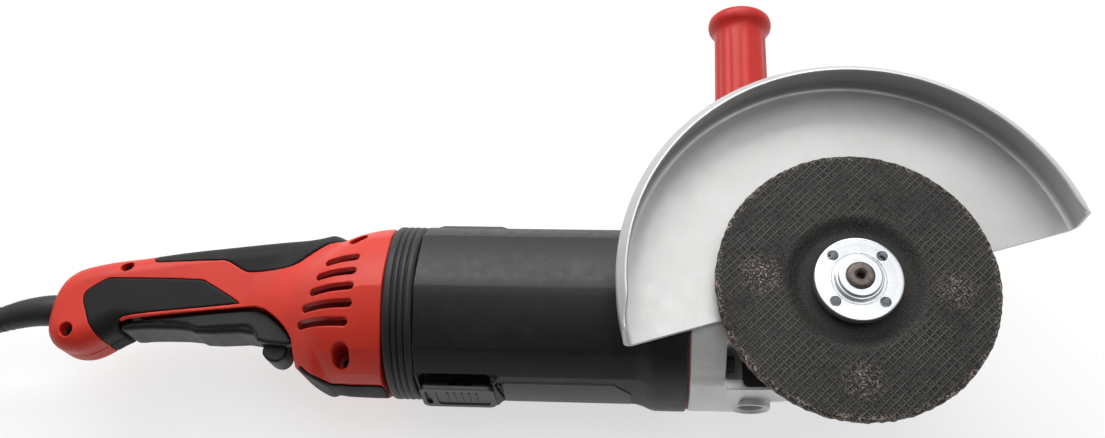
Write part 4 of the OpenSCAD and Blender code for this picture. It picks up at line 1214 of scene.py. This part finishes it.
def nut_field(x, y, z):
    radius = distance(x, y)
    seat = DISC_FACE - DISC_DROP
    flange = both(radius - NUT_R, abs(z - NUT_FACE / 2 - seat / 2 - 1.7) - (NUT_FACE - seat - 3.4) / 2, 0.8)
    hub = both(radius - 19.9, largest(seat + 0.02 - z, z - seat - 4), 0.3)
    base = both(radius - BASE_R, largest(seat + 1 - z, z - NUT_FACE - 2.3), 0.5)
    boss = joined(base, both(radius - BOSS_R, largest(seat + 1 - z, z - NUT_FACE - 4.45), 0.7), 0.3)
    form = smallest(flange, hub)
    groove = largest(abs(radius - 13.1) - 0.8, NUT_FACE - 0.6 - z)
    form = less(form, groove, 0.2)
    form = smallest(form, boss)
    form = less(form, largest(four_holes(x, y, NUT_PCD) - NUT_HOLE_R, seat + 0.5 - z), 0.3)
    return less(form, radius - SPINDLE_R - 0.02, 0.6)


def spindle_profile():
    rows = [(0.0, SPINDLE_BOTTOM), (5.2, SPINDLE_BOTTOM), (6, SPINDLE_BOTTOM + 0.8), (6, -16.2), (8.2, -16),
            (8.5, -15.7), (8.5, 44.8), (8.2, 45.2), (7, 45.4)]
    rows += [(SPINDLE_R, z) for z in np.arange(46, SPINDLE_TOP - 1.4, 0.25)]
    rows += [(SPINDLE_R - 0.1, SPINDLE_TOP - 1.3), (SPINDLE_R - 1.3, SPINDLE_TOP - 0.1),
             (SPINDLE_R - 1.7, SPINDLE_TOP), (3.4, SPINDLE_TOP), (2.4, SPINDLE_TOP - 0.8),
             (2.15, SPINDLE_TOP - 1.2), (2.15, SPINDLE_TOP - 8), (0.0, SPINDLE_TOP - 8.6)]
    return rows


def add_spindle():
    def thread(radius, height, angle):
        on = np.clip((height - 46) / 1.0, 0, 1) * np.clip((SPINDLE_TOP - 1.3 - height) / 0.6, 0, 1)
        turn = height / THREAD_PITCH - angle / (2 * math.pi)
        return -on * (radius > SPINDLE_R - 0.2) * 1.1 * abs(2 * (turn % 1) - 1)

    points, quads = lathe(spindle_profile(), 72, thread)
    new_piece("output_spindle", points, quads, "dark_steel", "spindle_set", "spindle", sharp=35)
    reach = NUT_R + 0.2
    field_piece("pin_nut", nut_field, (-reach, -reach, 58.5), (reach, reach, 73), (0.8, 0.42), "zinc_steel",
                "spindle_set", "clamp_nut")
    profile = filleted([(7.02, 45.5), (21, 45.5), (21, 53), (11, 53), (11, 56.5), (7.02, 56.5)], 0.5, 3)
    points, quads = lathe(profile, 96)
    new_piece("backing_flange", points, quads, "zinc_steel", "spindle_set", "inner_flange", sharp=35)


def add_button_spring():
    """A coil spring between the lock button and the gear case, made at its length at rest; the real one shortens as the
    button goes in.
    """
    low, high = BUTTON_SPRING
    turn = np.linspace(0, 3.3, 100)
    rise = low + 0.5 + (high - low - 1.0) * smoothstep((turn - 0.5) / 2.3)
    route = np.stack([BUTTON_X + 5.6 * np.cos(turn * 2 * math.pi), 5.6 * np.sin(turn * 2 * math.pi), rise], 1)
    points, faces = swept(route, np.full(len(route), 0.42), 10)
    spring = new_piece("button_spring", points, faces, "zinc_steel", None, "lock_spring")
    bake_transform(spring)


# ---- side handle


def add_side_handle():
    """A fluted grip with a dished flange by the hand and a thick collar by the gear head."""
    end = SIDE_END
    outline = [(6.05, 57.1), (23.6, 57.1), (24.8, 58), (25, 59.4), (24.6, 60.8), (23, 62), (20.5, 62.8),
               (18.4, 64.2), (17.2, 66.6), (17.0, 70)]
    outline += [(np.interp(v, (70, 90, 130, 160, 188), (17.1, 17.4, 16.3, 16.1, 15.9)), v) for v in range(75, 186, 5)]
    outline += [(16.0, 186.6), (16.7, 188.8), (18.3, 190.6), (19.3, 192.2), (19.65, 194), (19.6, 195.8),
                (19.1, end - 1.4), (18.2, end - 0.4), (16.8, end), (15.2, end - 0.3), (13.8, end - 1.1),
                (8, end - 1.5), (0.0, end - 1.5), (0.0, 101.0), (6.05, 101.0)]

    def flutes(radius, height, angle):
        on = smoothstep((height - 66) / 8) * smoothstep((188 - height) / 8) * (radius > 12)
        return -0.55 * on * (0.5 + 0.5 * np.cos(angle * 12)) ** 2

    points, quads = lathe(outline, 144, flutes)
    points = np.stack([points[:, 0] + SIDE_X, points[:, 2], -points[:, 1]], 1)
    new_piece("side_grip", points, quads, "grip_red", "head", "side_handle_grip", sharp=50)


add_motor()
add_head()
add_guard()
add_disc()
add_spindle()
add_button_spring()
add_side_handle()

# ---- the rest

SHOWN_SLOTS = {p["node"]: p["material_slot"] for p in frame["record"]["subparts"]}
OTHER_LOOKS = {"swivel_ring": "ring_black", "head_screws": "black_metal"}
for name, node in nodes.items():
    look = LOOKS[OTHER_LOOKS.get(name, SHOWN_SLOTS[name])]
    node.data.materials.clear()
    node.data.materials.append(look)

# ---- floor and light


def add_stage():
    mesh = bpy.data.meshes.new("floor")
    mesh.from_pydata([(-4, -4, 0), (4, -4, 0), (4, 4, 0), (-4, 4, 0)], [], [(0, 1, 2, 3)])
    floor = new_object("floor", mesh)
    look = Look("floor", Roughness=0.9)
    look.colour((0.36, 0.36, 0.36, 1))
    look.shader.inputs["Emission Color"].default_value = (1, 1, 1, 1)
    look.shader.inputs["Emission Strength"].default_value = 0.63
    mesh.materials.append(look.material)


def add_light(name, at, towards, size, power):
    data = bpy.data.lights.new(name, "AREA")
    data.shape = "RECTANGLE"
    data.size, data.size_y = size
    data.energy = power
    light = new_object(name, data)
    light.location = at
    light.rotation_euler = (Vector(towards) - Vector(at)).to_track_quat("-Z", "Y").to_euler()


def add_world(strength):
    world = bpy.data.worlds.new("studio")
    world.use_nodes = True
    tree = world.node_tree
    tree.nodes["Background"].inputs["Strength"].default_value = strength
    place = tree.nodes.new("ShaderNodeTexCoord")
    split = tree.nodes.new("ShaderNodeSeparateXYZ")
    shade = tree.nodes.new("ShaderNodeMapRange")
    for socket, value in (("From Min", -0.75), ("From Max", 0.45), ("To Min", 0.07), ("To Max", 1.15)):
        shade.inputs[socket].default_value = value
    tree.links.new(place.outputs["Generated"], split.inputs[0])
    tree.links.new(split.outputs[1], shade.inputs["Value"])
    tree.links.new(shade.outputs["Result"], tree.nodes["Background"].inputs["Color"])
    bpy.context.scene.world = world


add_stage()
add_world(0.72)
add_light("key", (-0.35, 0.9, 0.8), (-0.1, 0, 0), (1.4, 0.6), 13)
add_light("top", (0.1, 0.15, 1.3), (0, 0, 0), (1.2, 0.5), 4)
bpy.context.scene.view_settings.view_transform = "Standard"
